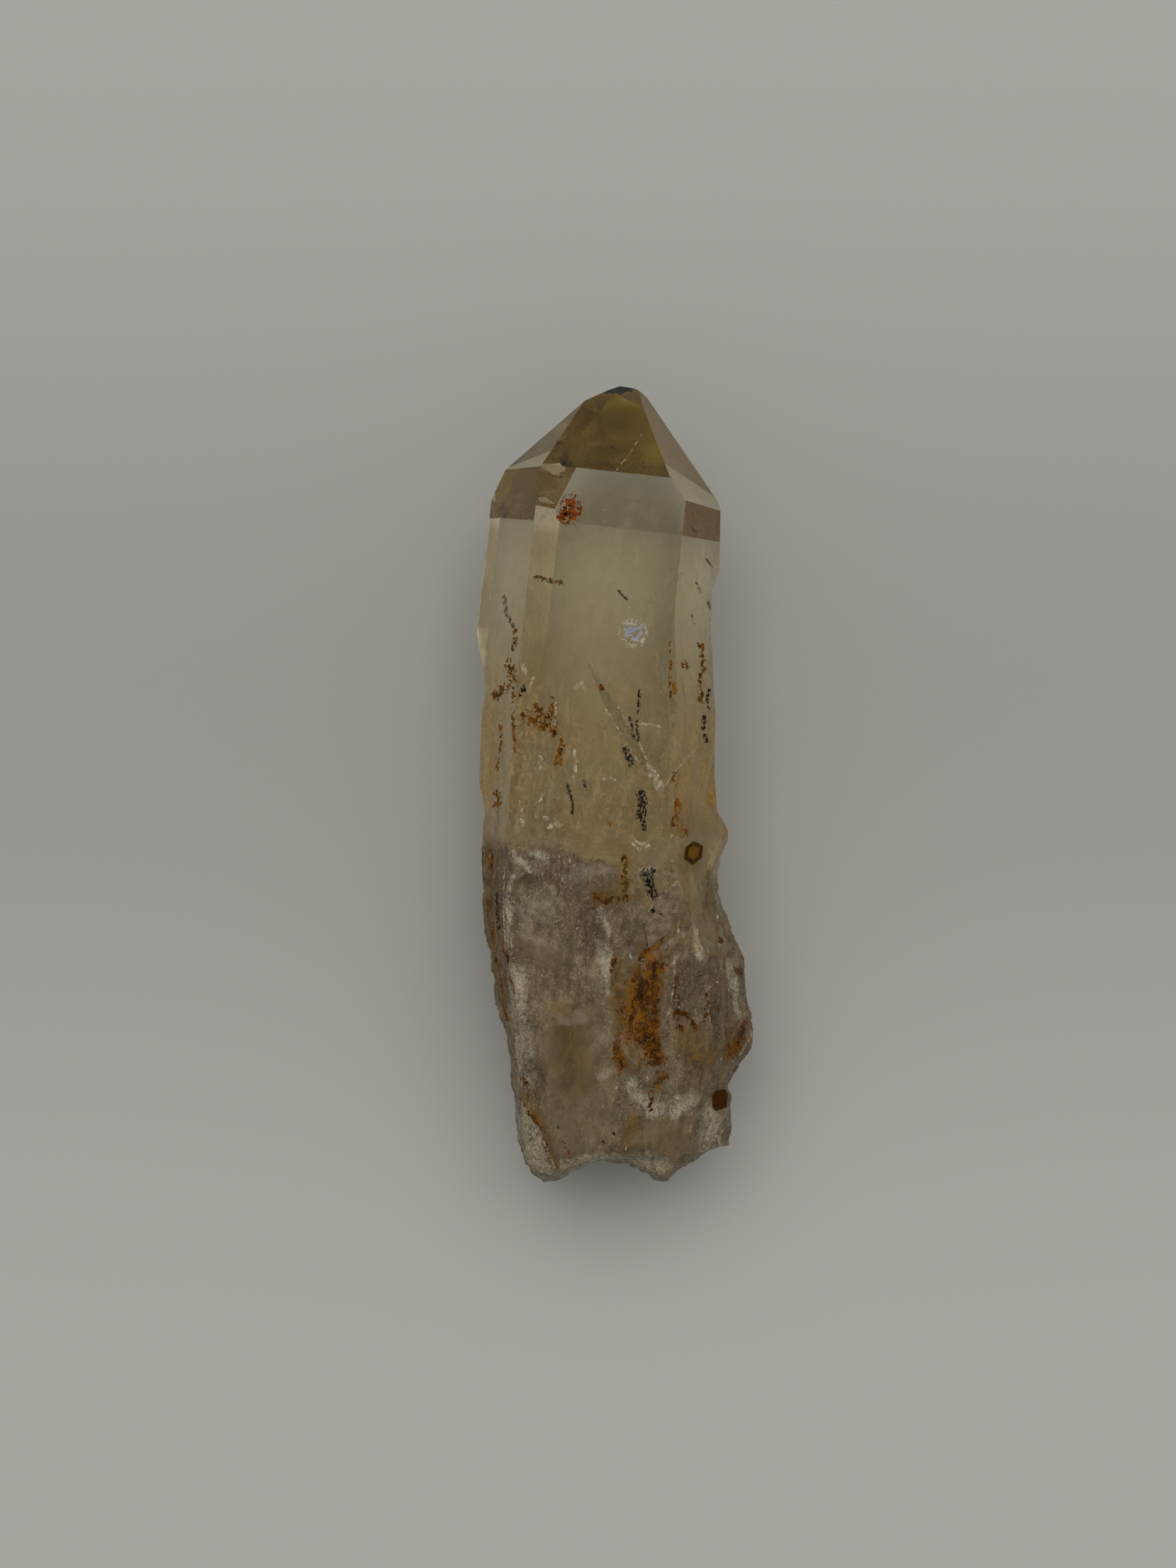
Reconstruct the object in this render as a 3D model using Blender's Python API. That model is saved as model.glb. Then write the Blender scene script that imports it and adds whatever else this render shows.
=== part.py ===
"""A single citrine crystal, 94 mm long, lying on one of its flat sides.

The point and the upper body are the six flat sides and six end faces of a quartz
crystal. The lower body is morphed from the same six-sided section to the broken,
swollen and ribbed root, which ends in a rough break.

The crystal is modelled along +Y, tip first, and then turned by LEAN to lie as it
was laid down. +Z is up. All sizes are in millimetres until the last step.
"""

import math

import bmesh
import bpy
from mathutils import Matrix, Vector, noise

# Driving dimensions, in millimetres and degrees
METRE = 1000.0
THICKNESS = 21.6           # from the side it lies on to the side on top
AXIS_X = -2.0              # the crystal axis, seen from above
AXIS_Z = 12.76             # height of the axis above the surface
LEAN = 6.3                 # the axis is turned this far towards +X
END_SLOPE = 38.2           # angle between an end face and the axis, a constant of quartz
BODY_END = -46.0           # where the body is cut before its break is shaped
BLOCK = (60.0, 120.0, 60.0)  # the block that the flat sides are cut out of

# How the worn body is divided into small faces
ROUGH_START = 33.0         # the section changes below here
FINE_START = 26.0          # slices across the axis from here on
ROOT_START = 2.0           # below here they lie twice as close
SLICE = 1.2                # their spacing along the root
SECTORS = 66               # slices around the axis
SECTOR_TURN = 0.31         # part of a sector, so that no slice runs along a ridge
FAN_CENTRE = (-1.63, 0.0, 10.86)
END_SLICE = 1.6            # spacing of the slices across the broken end
END_SLICES = 9             # to each side of the middle
TOLERANCE = 0.02           # points nearer than this are one point
WELD = 0.16                # and this near after all the slicing

# Each flat side: its direction around the axis from straight up, its distance from
# the axis, and where its end face would meet the axis
SIDES = (
    ("top", 0.0, 8.84, 46.4),
    ("upper right", 60.0, 12.73, 49.0),
    ("lower right", 105.0, 12.78, 50.4),
    ("under", 180.0, 12.76, 46.4),
    ("lower left", 236.0, 11.07, 45.6),
    ("upper left", 300.0, 10.85, 48.6),
)

# Chips off the tip: a point on the chip, and its direction around and along the axis
TIP_CHIPS = (
    ((-2.1, 45.2, 13.7), 6.0, 46.0),
    ((0.8, 45.9, 12.9), 82.0, 68.0),
    ((-3.5, 45.9, 12.4), -96.0, 58.0),
)

# How the six corners of the section run along the axis: (along, across) pairs
LEFT_EDGE = (
    (34.0, -14.8), (16.5, -14.9), (13.3, -14.2), (11.3, -13.5), (8.0, -13.15), (1.0, -13.0),
    (-1.5, -12.7), (-5.5, -11.6), (-7.0, -11.9), (-10.4, -11.8), (-15.3, -11.2),
    (-20.6, -10.1), (-23.5, -9.2), (-28.5, -7.7), (-30.1, -6.6), (-34.7, -5.7),
    (-37.1, -5.9), (-38.4, -5.2), (-42.9, -4.6), (-46.0, -4.4),
)
RIGHT_EDGE = (
    (34.0, 11.7), (25.8, 12.5), (24.5, 11.7), (21.2, 12.1), (18.8, 12.2), (16.3, 12.7),
    (12.9, 13.15), (10.1, 13.7), (2.2, 14.55), (-0.5, 15.1), (-2.3, 16.1), (-3.9, 16.8),
    (-10.0, 16.8), (-13.6, 17.7), (-15.5, 18.8), (-17.5, 21.4), (-19.7, 22.6),
    (-21.0, 21.5), (-22.0, 21.6), (-23.9, 22.8), (-26.7, 24.2), (-28.8, 23.8),
    (-30.1, 22.0), (-30.9, 20.6), (-36.3, 21.2), (-41.0, 22.1), (-46.0, 22.0),
)
TOP_LEFT_EDGE = (
    (34.0, -9.35), (8.0, -9.25), (-6.0, -8.5), (-19.0, -8.1), (-26.0, -6.4),
    (-31.0, -4.4), (-46.0, -2.0),
)
TOP_RIGHT_EDGE = (
    (34.0, 7.5), (20.0, 7.6), (10.0, 9.0), (0.0, 10.6), (-10.0, 12.4), (-18.0, 15.4),
    (-27.0, 18.4), (-33.0, 16.6), (-46.0, 16.2),
)
UNDER_LEFT_EDGE = (
    (34.0, -6.75), (10.0, -6.8), (-10.0, -6.6), (-25.0, -5.0), (-35.0, -3.0), (-46.0, -1.4),
)
UNDER_RIGHT_EDGE = (
    (34.0, 7.81), (15.0, 8.2), (0.0, 9.6), (-15.0, 11.6), (-27.0, 14.6), (-46.0, 13.8),
)
LEFT_HEIGHT = ((34.0, 12.2), (0.0, 11.6), (-25.0, 10.8), (-46.0, 10.4))
RIGHT_HEIGHT = (
    (34.0, 14.5), (26.0, 13.2), (24.5, 14.5), (0.0, 14.0), (-27.0, 11.4), (-46.0, 10.4),
)
TOP_HEIGHT = (
    (34.0, THICKNESS), (-8.0, THICKNESS), (-22.0, 21.3), (-30.0, 20.7), (-40.0, 19.8),
    (-46.0, 18.4),
)
UNDER_HEIGHT = ((34.0, 0.0), (-24.0, 0.0), (-34.0, 0.5), (-46.0, 1.9))

# The ridges are rounded where the crystal is swollen and towards its broken end
SOFTENINGS = 10
SWOLLEN_FROM = -6.0        # along the axis
SWOLLEN_RIGHT_OF = 8.0     # across the axis
ROUNDED_FROM = -24.0       # all the way around from here on, and each time a little less

# The root is stretched to its broken end, which is rounded towards its top and underside
BREAK_START = -33.0
BREAK_MIDDLE = 9.5
BREAK_HALF = 10.5
BREAK_ROUNDING = 2.6
BREAK_ROUGHNESS = 0.9

# The broken end, seen from above: (across, along) pairs
BREAK_EDGE = (
    (-4.4, -43.0), (-3.0, -44.7), (-1.8, -46.2), (-0.4, -47.1), (0.7, -47.3), (2.3, -46.9),
    (3.4, -46.0), (5.4, -45.1), (8.0, -44.5), (9.9, -44.2), (10.8, -44.6), (12.0, -45.4),
    (13.3, -46.0), (14.5, -45.6), (15.2, -44.6), (16.5, -43.4), (18.2, -42.2),
    (20.8, -42.0), (22.2, -41.2),
)

# Plates and chips broken off flat: centre (across, along, up), the direction that the
# flat faces (around from straight up, towards the tip), and the reach from the centre
FLATS = (
    ("left plate", (-4.4, -14.5, 21.3), -8.0, 5.0, 3.2),
    ("right plate", (10.2, -14.3, 20.9), 5.0, -6.0, 4.2),
    ("left flank scar", (-14.2, 12.4, 12.4), -82.0, -22.0, 3.4),
    ("root window", (3.6, -38.3, 19.9), -2.0, -7.0, 5.2),
    ("left lobe step", (-2.4, -41.4, 17.4), -30.0, -18.0, 4.8),
    ("right lens", (15.6, -39.6, 18.0), 15.0, -18.0, 3.6),
    ("bulge side", (21.9, -25.0, 9.4), 104.0, 6.0, 5.2),
    ("bulge shoulder", (18.8, -21.6, 17.2), 50.0, 14.0, 4.2),
    ("under left chip", (-9.4, -10.0, 3.0), -130.0, -8.0, 4.6),
    ("under right chip", (14.8, -8.5, 5.4), 128.0, 10.0, 5.0),
)

# Rounded hollows broken out of the surface: centre, radii, turn about the up axis, and
# the direction in which the surface gives way
INTO_BREAK = (0.0, 1.0, 0.0)
DOWN = (0.0, 0.0, -1.0)
UP = (0.0, 0.0, 1.0)
INWARD = (-1.0, 0.0, 0.0)
HOLLOWS = (
    ("hollow in the break", (12.6, -48.6, 5.0), (5.0, 3.6, 4.6), -12.0, INTO_BREAK),
    ("hollow in the left lobe", (-1.0, -49.8, 5.0), (4.4, 4.4, 4.4), 8.0, INTO_BREAK),
    ("rust valley", (8.6, -26.8, 25.6), (2.8, 7.4, 5.6), 4.0, DOWN),
    ("valley foot", (5.4, -32.2, 24.2), (2.0, 3.6, 4.2), -24.0, DOWN),
    ("pit over the lens", (14.0, -36.2, 23.3), (3.6, 2.6, 4.4), 30.0, DOWN),
    ("left lobe scoop", (-4.0, -36.6, 22.6), (2.8, 4.8, 5.4), -24.0, DOWN),
    ("furrow in the bulge", (15.6, -22.5, 24.4), (1.5, 6.4, 5.0), -8.0, DOWN),
    ("hollow by the plate", (1.2, -19.6, 24.0), (3.6, 4.4, 3.2), 10.0, DOWN),
    ("step by the bulge", (23.4, -33.6, 15.0), (3.4, 2.6, 8.0), 24.0, INWARD),
    ("hollow under the root", (3.0, -45.4, -1.2), (6.0, 5.4, 4.6), 10.0, UP),
)

# Where the surface goes from clean to rough
WORN_ALONG = (-3.0, -16.0)       # along the axis, all the way around
WORN_LEFT = (-10.2, -11.6)       # across the axis, at the left ridge
WORN_LEFT_ALONG = (15.0, 2.0)
WORN_RIGHT = (9.5, 12.5)         # across the axis, at the right ridge
WORN_RIGHT_ALONG = (24.0, 0.0)
RIDGE_WEAR = 0.5
WINDOW = (2.6, -38.5)            # a broken face on top of the root that is smoother
WINDOW_EDGE = (6.5, 3.5)
WINDOW_HEIGHT = (12.0, 18.0)

# Heights and sizes of what makes the root rough
LUMP_HEIGHT, LUMP_SCALE = 0.8, 0.14
PIT_HEIGHT, PIT_SCALE = 0.16, 0.5
LEDGE_HEIGHT, LEDGE_ACROSS, LEDGE_ALONG = 0.22, 0.22, 0.12
RIB_HEIGHT, RIB_ACROSS, RIB_ALONG, RIB_UP = 0.9, 0.6, 0.06, 0.5
RIB_FAN_FROM, RIB_FAN = -8.0, 0.012     # the ribs spread out from here, by this much a millimetre
RIB_RIGHT = (7.0, 12.0)
RIB_LEFT = (-7.5, -9.5)
OUTLINE_KEPT = 0.55              # share of the relief left off where a side stands upright
RESTING_HEIGHT = 0.6             # the surface below this only ever moves up


def along_profile(profile, along):
    """The value of a profile of (along, value) pairs, straight between its points."""
    first, last = profile[0], profile[-1]
    if along >= first[0]:
        return first[1]
    for (near, near_value), (far, far_value) in zip(profile, profile[1:]):
        if near >= along >= far:
            return near_value + (far_value - near_value) * (near - along) / (near - far)
    return last[1]


def break_at(across):
    """How far the broken end reaches along the axis at a place across it."""
    flipped = tuple((-place, reach) for place, reach in BREAK_EDGE)
    return along_profile(flipped, -across)


def smooth_step(low, high, value):
    """Rises smoothly from 0 at low to 1 at high."""
    t = min(max((value - low) / (high - low), 0.0), 1.0)
    return t * t * (3.0 - 2.0 * t)


def facing(around, along):
    """The direction at an angle around from straight up, leaned towards the tip."""
    around, along = math.radians(around), math.radians(along)
    return Vector((
        math.sin(around) * math.cos(along),
        math.sin(along),
        math.cos(around) * math.cos(along),
    ))


def everything(bm):
    """All points, edges and faces."""
    return bm.verts[:] + bm.edges[:] + bm.faces[:]


def cut_flat(bm, point, normal):
    """Cuts away what lies beyond a plane and closes the cut."""
    cut = bmesh.ops.bisect_plane(
        bm, geom=everything(bm), dist=0.0001, plane_co=point, plane_no=normal, clear_outer=True,
    )
    rim = [item for item in cut["geom_cut"] if isinstance(item, bmesh.types.BMEdge)]
    if rim:
        bmesh.ops.contextual_create(bm, geom=rim)


def slice_faces(bm, faces, point, normal):
    """Divides some faces where a plane crosses them and cuts nothing away."""
    edges = {edge for face in faces for edge in face.edges}
    verts = {vert for face in faces for vert in face.verts}
    geom = list(faces) + list(edges) + list(verts)
    bmesh.ops.bisect_plane(bm, geom=geom, dist=TOLERANCE, plane_co=point, plane_no=normal)


def section_corners():
    """The six corners of the flat-sided section, from the distances of the sides."""
    corners = []
    for (_, turn, reach, _), (_, next_turn, next_reach, _) in zip(SIDES, SIDES[1:] + SIDES[:1]):
        ahead, behind = facing(turn, 0.0), facing(next_turn, 0.0)
        spread = ahead.x * behind.z - ahead.z * behind.x
        across = (reach * behind.z - next_reach * ahead.z) / spread
        up = (ahead.x * next_reach - behind.x * reach) / spread
        corners.append((AXIS_X + across, AXIS_Z + up))
    return corners


def faceted_crystal():
    """The whole crystal as flat sides and end faces, cut out of a block."""
    bm = bmesh.new()
    block = bmesh.ops.create_cube(bm, size=1.0)
    bmesh.ops.scale(bm, vec=BLOCK, verts=block["verts"])
    axis = Vector((AXIS_X, 0.0, AXIS_Z))
    for _, turn, reach, meets_axis in SIDES:
        side = facing(turn, 0.0)
        cut_flat(bm, axis + side * reach, side)
        cut_flat(bm, axis + Vector((0.0, meets_axis, 0.0)), facing(turn, END_SLOPE))
    for point, turn, slope in TIP_CHIPS:
        cut_flat(bm, Vector(point), facing(turn, slope))
    cut_flat(bm, Vector((0.0, BODY_END, 0.0)), Vector((0.0, -1.0, 0.0)))
    return bm


def slice_body(bm):
    """Divides the body below the shoulders, and its cut end, into small faces."""
    centre = Vector(FAN_CENTRE)
    along = Vector((0.0, 1.0, 0.0))
    slice_faces(bm, bm.faces[:], along * (ROUGH_START - 1.0), along)
    place = FINE_START
    while place > BODY_END + SLICE / 2.0:
        slice_faces(bm, bm.faces[:], along * place, along)
        place -= SLICE if place < ROOT_START else SLICE * 2.0
    for step in range(SECTORS // 2):
        normal = facing(360.0 * (step + SECTOR_TURN) / SECTORS, 0.0)
        sides = [
            face for face in bm.faces
            if face.normal.y > -0.5 and face.calc_center_median().y < FINE_START
        ]
        slice_faces(bm, sides, centre, normal)
    for step in range(-END_SLICES, END_SLICES + 1):
        for normal in (Vector((1.0, 0.0, 0.0)), Vector((0.0, 0.0, 1.0))):
            end = [face for face in bm.faces if face.normal.y < -0.5]
            slice_faces(bm, end, centre + normal * (step * END_SLICE), normal)
    bmesh.ops.remove_doubles(bm, verts=bm.verts[:], dist=WELD)


def morph_section(bm):
    """Moves the even six-sided section to the one that the crystal has at each place."""
    top_right, right, under_right, under_left, left, top_left = section_corners()

    def side_point(height, low, middle, high):
        """A place on one side of a section: how far up its lower or upper half it is."""
        if height <= middle[1]:
            return 0, (height - low[1]) / (middle[1] - low[1])
        return 1, (height - middle[1]) / (high[1] - middle[1])

    def place_on(half, share, low, middle, high):
        start, end = (low, middle) if half == 0 else (middle, high)
        return Vector((start[0] + (end[0] - start[0]) * share, start[1] + (end[1] - start[1]) * share))

    for vert in bm.verts:
        along = vert.co.y
        if along > ROUGH_START:
            continue
        height = min(max(vert.co.z, 0.0), THICKNESS)
        left_half, left_share = side_point(height, under_left, left, top_left)
        right_half, right_share = side_point(height, under_right, right, top_right)
        was_left = place_on(left_half, left_share, under_left, left, top_left)
        was_right = place_on(right_half, right_share, under_right, right, top_right)
        share = (vert.co.x - was_left.x) / (was_right.x - was_left.x)
        top, under = along_profile(TOP_HEIGHT, along), along_profile(UNDER_HEIGHT, along)
        now_left = place_on(
            left_half, left_share,
            (along_profile(UNDER_LEFT_EDGE, along), under),
            (along_profile(LEFT_EDGE, along), along_profile(LEFT_HEIGHT, along)),
            (along_profile(TOP_LEFT_EDGE, along), top),
        )
        now_right = place_on(
            right_half, right_share,
            (along_profile(UNDER_RIGHT_EDGE, along), under),
            (along_profile(RIGHT_EDGE, along), along_profile(RIGHT_HEIGHT, along)),
            (along_profile(TOP_RIGHT_EDGE, along), top),
        )
        now = now_left.lerp(now_right, share)
        vert.co.x, vert.co.z = now.x, now.y


def soften(bm):
    """Rounds the ridges of the section where the crystal is swollen and broken."""
    for turn in range(SOFTENINGS):
        swollen = [
            vert for vert in bm.verts
            if vert.co.y < ROUNDED_FROM - turn
            or (vert.co.y < SWOLLEN_FROM and vert.co.x > SWOLLEN_RIGHT_OF)
        ]
        bmesh.ops.smooth_vert(
            bm, verts=swollen, factor=0.5, use_axis_x=True, use_axis_y=True, use_axis_z=True,
        )


def shape_break(bm):
    """Stretches the root to the edge of the break and rounds its top and underside."""
    for vert in bm.verts:
        if vert.co.y > BREAK_START:
            continue
        share = (vert.co.y - BREAK_START) / (BODY_END - BREAK_START)
        away = (vert.co.z - BREAK_MIDDLE) / BREAK_HALF
        rough = noise.noise(Vector((vert.co.x, 4.0, vert.co.z)) * 0.22)
        retreat = BREAK_ROUNDING * away * away + BREAK_ROUGHNESS * rough
        reach = break_at(vert.co.x) + max(retreat, 0.0)
        vert.co.y = BREAK_START + share * (reach - BREAK_START)


def worn(place):
    """How far the surface is broken and etched at a place: 0 for a clean face, 1 for rough."""
    root = smooth_step(*WORN_ALONG, place.y)
    left = smooth_step(*WORN_LEFT, place.x) * smooth_step(*WORN_LEFT_ALONG, place.y)
    right = smooth_step(*WORN_RIGHT, place.x) * smooth_step(*WORN_RIGHT_ALONG, place.y)
    window = smooth_step(*WINDOW_EDGE, (Vector(WINDOW) - place.xy).length)
    window *= smooth_step(*WINDOW_HEIGHT, place.z)
    return max(root * (1.0 - 0.8 * window), left * RIDGE_WEAR, right * RIDGE_WEAR)


def relief(place):
    """Lumps, ledges, pits and ribs along the axis, as a height above the plain surface."""
    lumps = LUMP_HEIGHT * noise.noise(place * LUMP_SCALE)
    pits = PIT_HEIGHT * noise.noise(place * PIT_SCALE + Vector((7.0, 0.0, 3.0)))
    stretched = (place.x * LEDGE_ACROSS, place.y * LEDGE_ALONG + 9.0, place.z * LEDGE_ACROSS)
    terrace = 4.0 * noise.noise(Vector(stretched))
    step = math.floor(terrace)
    ledges = LEDGE_HEIGHT * (step + smooth_step(0.3, 0.9, terrace - step))
    fan = 1.0 + max(RIB_FAN_FROM - place.y, 0.0) * RIB_FAN
    drawn = (place.x / fan * RIB_ACROSS, place.y * RIB_ALONG, place.z * RIB_UP)
    flank = max(smooth_step(*RIB_RIGHT, place.x), smooth_step(*RIB_LEFT, place.x))
    ribs = RIB_HEIGHT * flank * (0.35 - 1.8 * abs(noise.noise(Vector(drawn))))
    return lumps + pits + ledges + ribs


def add_relief(bm):
    """Roughens the worn body; its underside only ever moves up from the surface."""
    bm.normal_update()
    moves = {}
    for vert in bm.verts:
        if vert.co.y > FINE_START:
            continue
        amount = worn(vert.co) * relief(vert.co)
        # the outline seen from above stays on its measured line
        amount *= 1.0 - OUTLINE_KEPT * smooth_step(0.80, 1.0, abs(vert.normal.x))
        moves[vert] = vert.normal * amount
    for vert, move in moves.items():
        was = vert.co.z
        vert.co += move
        if was < RESTING_HEIGHT:
            vert.co.z = was + max(move.z, 0.0) * 0.5
        vert.co.z = max(vert.co.z, 0.0)


def flatten_chips(bm):
    """Presses the surface back to a flat wherever it stands out beyond one."""
    for _, centre, turn, slope, reach in FLATS:
        centre, normal = Vector(centre), facing(turn, slope)
        for vert in bm.verts:
            if (vert.co - centre).length < reach:
                height = (vert.co - centre).dot(normal)
                if height > 0.0:
                    vert.co -= normal * height


def press_hollows(bm):
    """Presses what lies inside a rounded hollow back to the wall of the hollow."""
    for _, centre, radii, turn, way in HOLLOWS:
        centre, way = Vector(centre), Vector(way)
        shrink = Matrix.Diagonal(Vector([1.0 / radius for radius in radii]))
        unit = shrink @ Matrix.Rotation(math.radians(-turn), 3, "Z")
        step = unit @ way
        for vert in bm.verts:
            inside = unit @ (vert.co - centre)
            if inside.length >= 1.0:
                continue
            half = inside.dot(step) / step.length_squared
            rest = (1.0 - inside.length_squared) / step.length_squared
            vert.co += way * (math.sqrt(half * half + rest) - half)


def lay_down(bm):
    """Turns the crystal to lie as it was laid down."""
    turn = Matrix.Rotation(math.radians(-LEAN), 3, "Z")
    bmesh.ops.rotate(bm, verts=bm.verts[:], cent=(0.0, 0.0, 0.0), matrix=turn)


def tidy_faces(bm):
    """Leaves only triangles with some area."""
    bmesh.ops.dissolve_degenerate(bm, edges=bm.edges[:], dist=TOLERANCE)
    bmesh.ops.triangulate(bm, faces=bm.faces[:])
    bmesh.ops.recalc_face_normals(bm, faces=bm.faces[:])


def centre_on_box(mesh):
    """Moves a mesh so that its box stands on the origin, and scales it to metres."""
    low = Vector([min(vert.co[axis] for vert in mesh.vertices) for axis in range(3)])
    high = Vector([max(vert.co[axis] for vert in mesh.vertices) for axis in range(3)])
    foot = Vector(((low.x + high.x) / 2.0, (low.y + high.y) / 2.0, low.z))
    mesh.transform(Matrix.Scale(1.0 / METRE, 4) @ Matrix.Translation(-foot))


def citrine():
    """Smoky yellow, clear quartz."""
    material = bpy.data.materials.new("citrine")
    material.use_nodes = True
    shader = material.node_tree.nodes["Principled BSDF"]
    shader.inputs["Base Color"].default_value = (0.52, 0.43, 0.28, 1.0)
    shader.inputs["Roughness"].default_value = 0.12
    shader.inputs["Metallic"].default_value = 0.0
    material.diffuse_color = (0.52, 0.43, 0.28, 1.0)
    return material


def crystal(collection):
    """The whole crystal: flat faces towards the tip, worn and broken towards the root."""
    bm = faceted_crystal()
    slice_body(bm)
    morph_section(bm)
    soften(bm)
    shape_break(bm)
    add_relief(bm)
    flatten_chips(bm)
    press_hollows(bm)
    lay_down(bm)
    tidy_faces(bm)
    mesh = bpy.data.meshes.new("crystal")
    bm.to_mesh(mesh)
    bm.free()
    centre_on_box(mesh)
    mesh.materials.append(citrine())
    collection.objects.link(bpy.data.objects.new("crystal", mesh))


def build():
    """Clears the scene and makes the part in a collection of its own."""
    for thing in list(bpy.data.objects):
        bpy.data.objects.remove(thing, do_unlink=True)
    parts = bpy.data.collections.new("citrine_crystal")
    bpy.context.scene.collection.children.link(parts)
    crystal(parts)


build()
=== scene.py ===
"""A smoky-yellow citrine crystal with a milky, rust-stained root, seen from straight above."""

import math
import random

import bmesh
import bpy
from mathutils import Matrix, Vector, noise
from mathutils.bvhtree import BVHTree


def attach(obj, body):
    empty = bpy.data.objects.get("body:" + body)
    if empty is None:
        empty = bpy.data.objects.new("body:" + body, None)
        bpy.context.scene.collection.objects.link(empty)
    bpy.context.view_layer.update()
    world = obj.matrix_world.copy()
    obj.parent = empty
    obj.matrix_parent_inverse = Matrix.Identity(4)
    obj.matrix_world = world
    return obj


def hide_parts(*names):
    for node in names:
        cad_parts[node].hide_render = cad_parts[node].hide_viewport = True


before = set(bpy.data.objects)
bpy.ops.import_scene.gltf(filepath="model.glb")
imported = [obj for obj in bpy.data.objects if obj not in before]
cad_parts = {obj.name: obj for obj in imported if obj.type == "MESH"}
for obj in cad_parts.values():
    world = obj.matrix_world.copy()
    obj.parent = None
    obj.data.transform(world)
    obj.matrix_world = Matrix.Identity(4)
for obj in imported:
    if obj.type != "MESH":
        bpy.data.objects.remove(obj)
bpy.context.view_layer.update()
scene = bpy.context.scene

# The camera.
# It hangs level, a third of a metre above the middle of the crystal, and looks straight
# down. Light is bent and thrown back many times in a clear stone, so rays go on for long.
CAMERA_PLACE = (-0.00335, 0.00042, 0.330)
LENS = 62.51
SENSOR_WIDTH = 36.0
camera_data = bpy.data.cameras.new("camera")
camera_data.lens = LENS
camera_data.sensor_width = SENSOR_WIDTH
camera_data.clip_start = 0.01
camera_data.clip_end = 20.0
camera = bpy.data.objects.new("camera", camera_data)
camera.location = CAMERA_PLACE
scene.collection.objects.link(camera)
scene.camera = camera
scene.cycles.max_bounces = 14
scene.cycles.glossy_bounces = 10
scene.cycles.transmission_bounces = 12
scene.cycles.transparent_max_bounces = 16
scene.view_settings.view_transform = "Standard"


# The light.
# Soft light from the whole room, strongest from a wide pale ceiling beyond the tip,
# with a dark patch right above, where the camera is held.
ROOM_GLOW = 0.20
WALL_GLOW = 0.15
CEILING_GLOW = 1.55
CAMERA_SHADE = 0.30
ROOM_TONE = (1.0, 0.995, 0.97)


class Value:
    """A socket in a node tree that can be used in sums: each operator adds a Math node."""

    def __init__(self, socket):
        self.socket = socket

    @staticmethod
    def node(tree, kind, settings=None, sockets=None, out=0):
        """Adds a node, with its settings first and then the values or links of its sockets."""
        made = tree.nodes.new(kind)
        for name, value in (settings or {}).items():
            if name == "stops":
                while len(made.color_ramp.elements) < len(value):
                    made.color_ramp.elements.new(0.5)
                for stop, (position, colour) in zip(made.color_ramp.elements, value):
                    stop.position = position
                    stop.color = (*colour, 1.0)
            else:
                setattr(made, name, value)
        Value.plug(made, sockets or {})
        return Value(made.outputs[out])

    @staticmethod
    def plug(node, sockets):
        """Gives the sockets of a node their values or links."""
        for name, value in sockets.items():
            if isinstance(value, Value):
                node.id_data.links.new(value.socket, node.inputs[name])
            else:
                node.inputs[name].default_value = value

    def math(self, operation, *others):
        sockets = {0: self}
        sockets.update(enumerate(others, 1))
        return Value.node(self.socket.id_data, "ShaderNodeMath", {"operation": operation}, sockets)

    def __add__(self, other):
        return self.math("ADD", other)

    __radd__ = __add__

    def __sub__(self, other):
        return self.math("SUBTRACT", other)

    def __rsub__(self, other):
        return (self * -1.0) + other

    def __mul__(self, other):
        return self.math("MULTIPLY", other)

    __rmul__ = __mul__

    def __truediv__(self, other):
        return self.math("DIVIDE", other)

    def __pow__(self, other):
        return self.math("POWER", other)

    def __abs__(self):
        return self.math("ABSOLUTE")

    def least(self, other):
        return self.math("MINIMUM", other)

    def most(self, other):
        return self.math("MAXIMUM", other)

    def between(self, low, high, smooth=True):
        """Goes from 0 at low to 1 at high."""
        kind = "SMOOTHSTEP" if smooth else "LINEAR"
        return Value.node(
            self.socket.id_data, "ShaderNodeMapRange", {"interpolation_type": kind},
            {"Value": self, "From Min": low, "From Max": high},
        )


def parts_of(tree, vector):
    """The three numbers of a vector."""
    return [Value.node(tree, "ShaderNodeSeparateXYZ", sockets={0: vector}, out=i) for i in range(3)]


def toned(tree, shade, tone):
    """A colour as bright as shade, and of one tone."""
    return Value.node(tree, "ShaderNodeCombineColor", sockets={
        name: shade * part for name, part in zip(("Red", "Green", "Blue"), tone)
    })


world = bpy.data.worlds.new("room")
world.use_nodes = True
scene.world = world
room = world.node_tree
room.nodes.clear()
sideways, endways, height = parts_of(room, Value.node(room, "ShaderNodeTexCoord", out=0))
level = height.most(0.05)
beyond = endways / level
beside = abs(sideways / level)
ceiling = beyond.between(0.0, 0.40) * (1.0 - beyond.between(0.8, 1.8)) * (1.0 - beside.between(0.4, 1.2))
overhead = height.between(0.95, 0.992)
glow = ROOM_GLOW + height.between(0.1, 0.75) * WALL_GLOW - overhead * CAMERA_SHADE
glow = glow + ceiling * height.between(0.1, 0.3) * CEILING_GLOW
sky = Value.node(room, "ShaderNodeBackground", sockets={
    "Color": toned(room, glow, ROOM_TONE), "Strength": 1.0,
})
room_out = room.nodes.new("ShaderNodeOutputWorld")
room.links.new(sky.socket, room_out.inputs["Surface"])


# The floor.
# A sheet of plain pale grey card, a little less lit across the middle, and brighter
# under the clear half of the crystal, where its light is gathered.
FLOOR_GAP = 0.00008
FLOOR_HALF = 3.0
CARD_TONE = (0.62, 0.625, 0.585)


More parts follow.
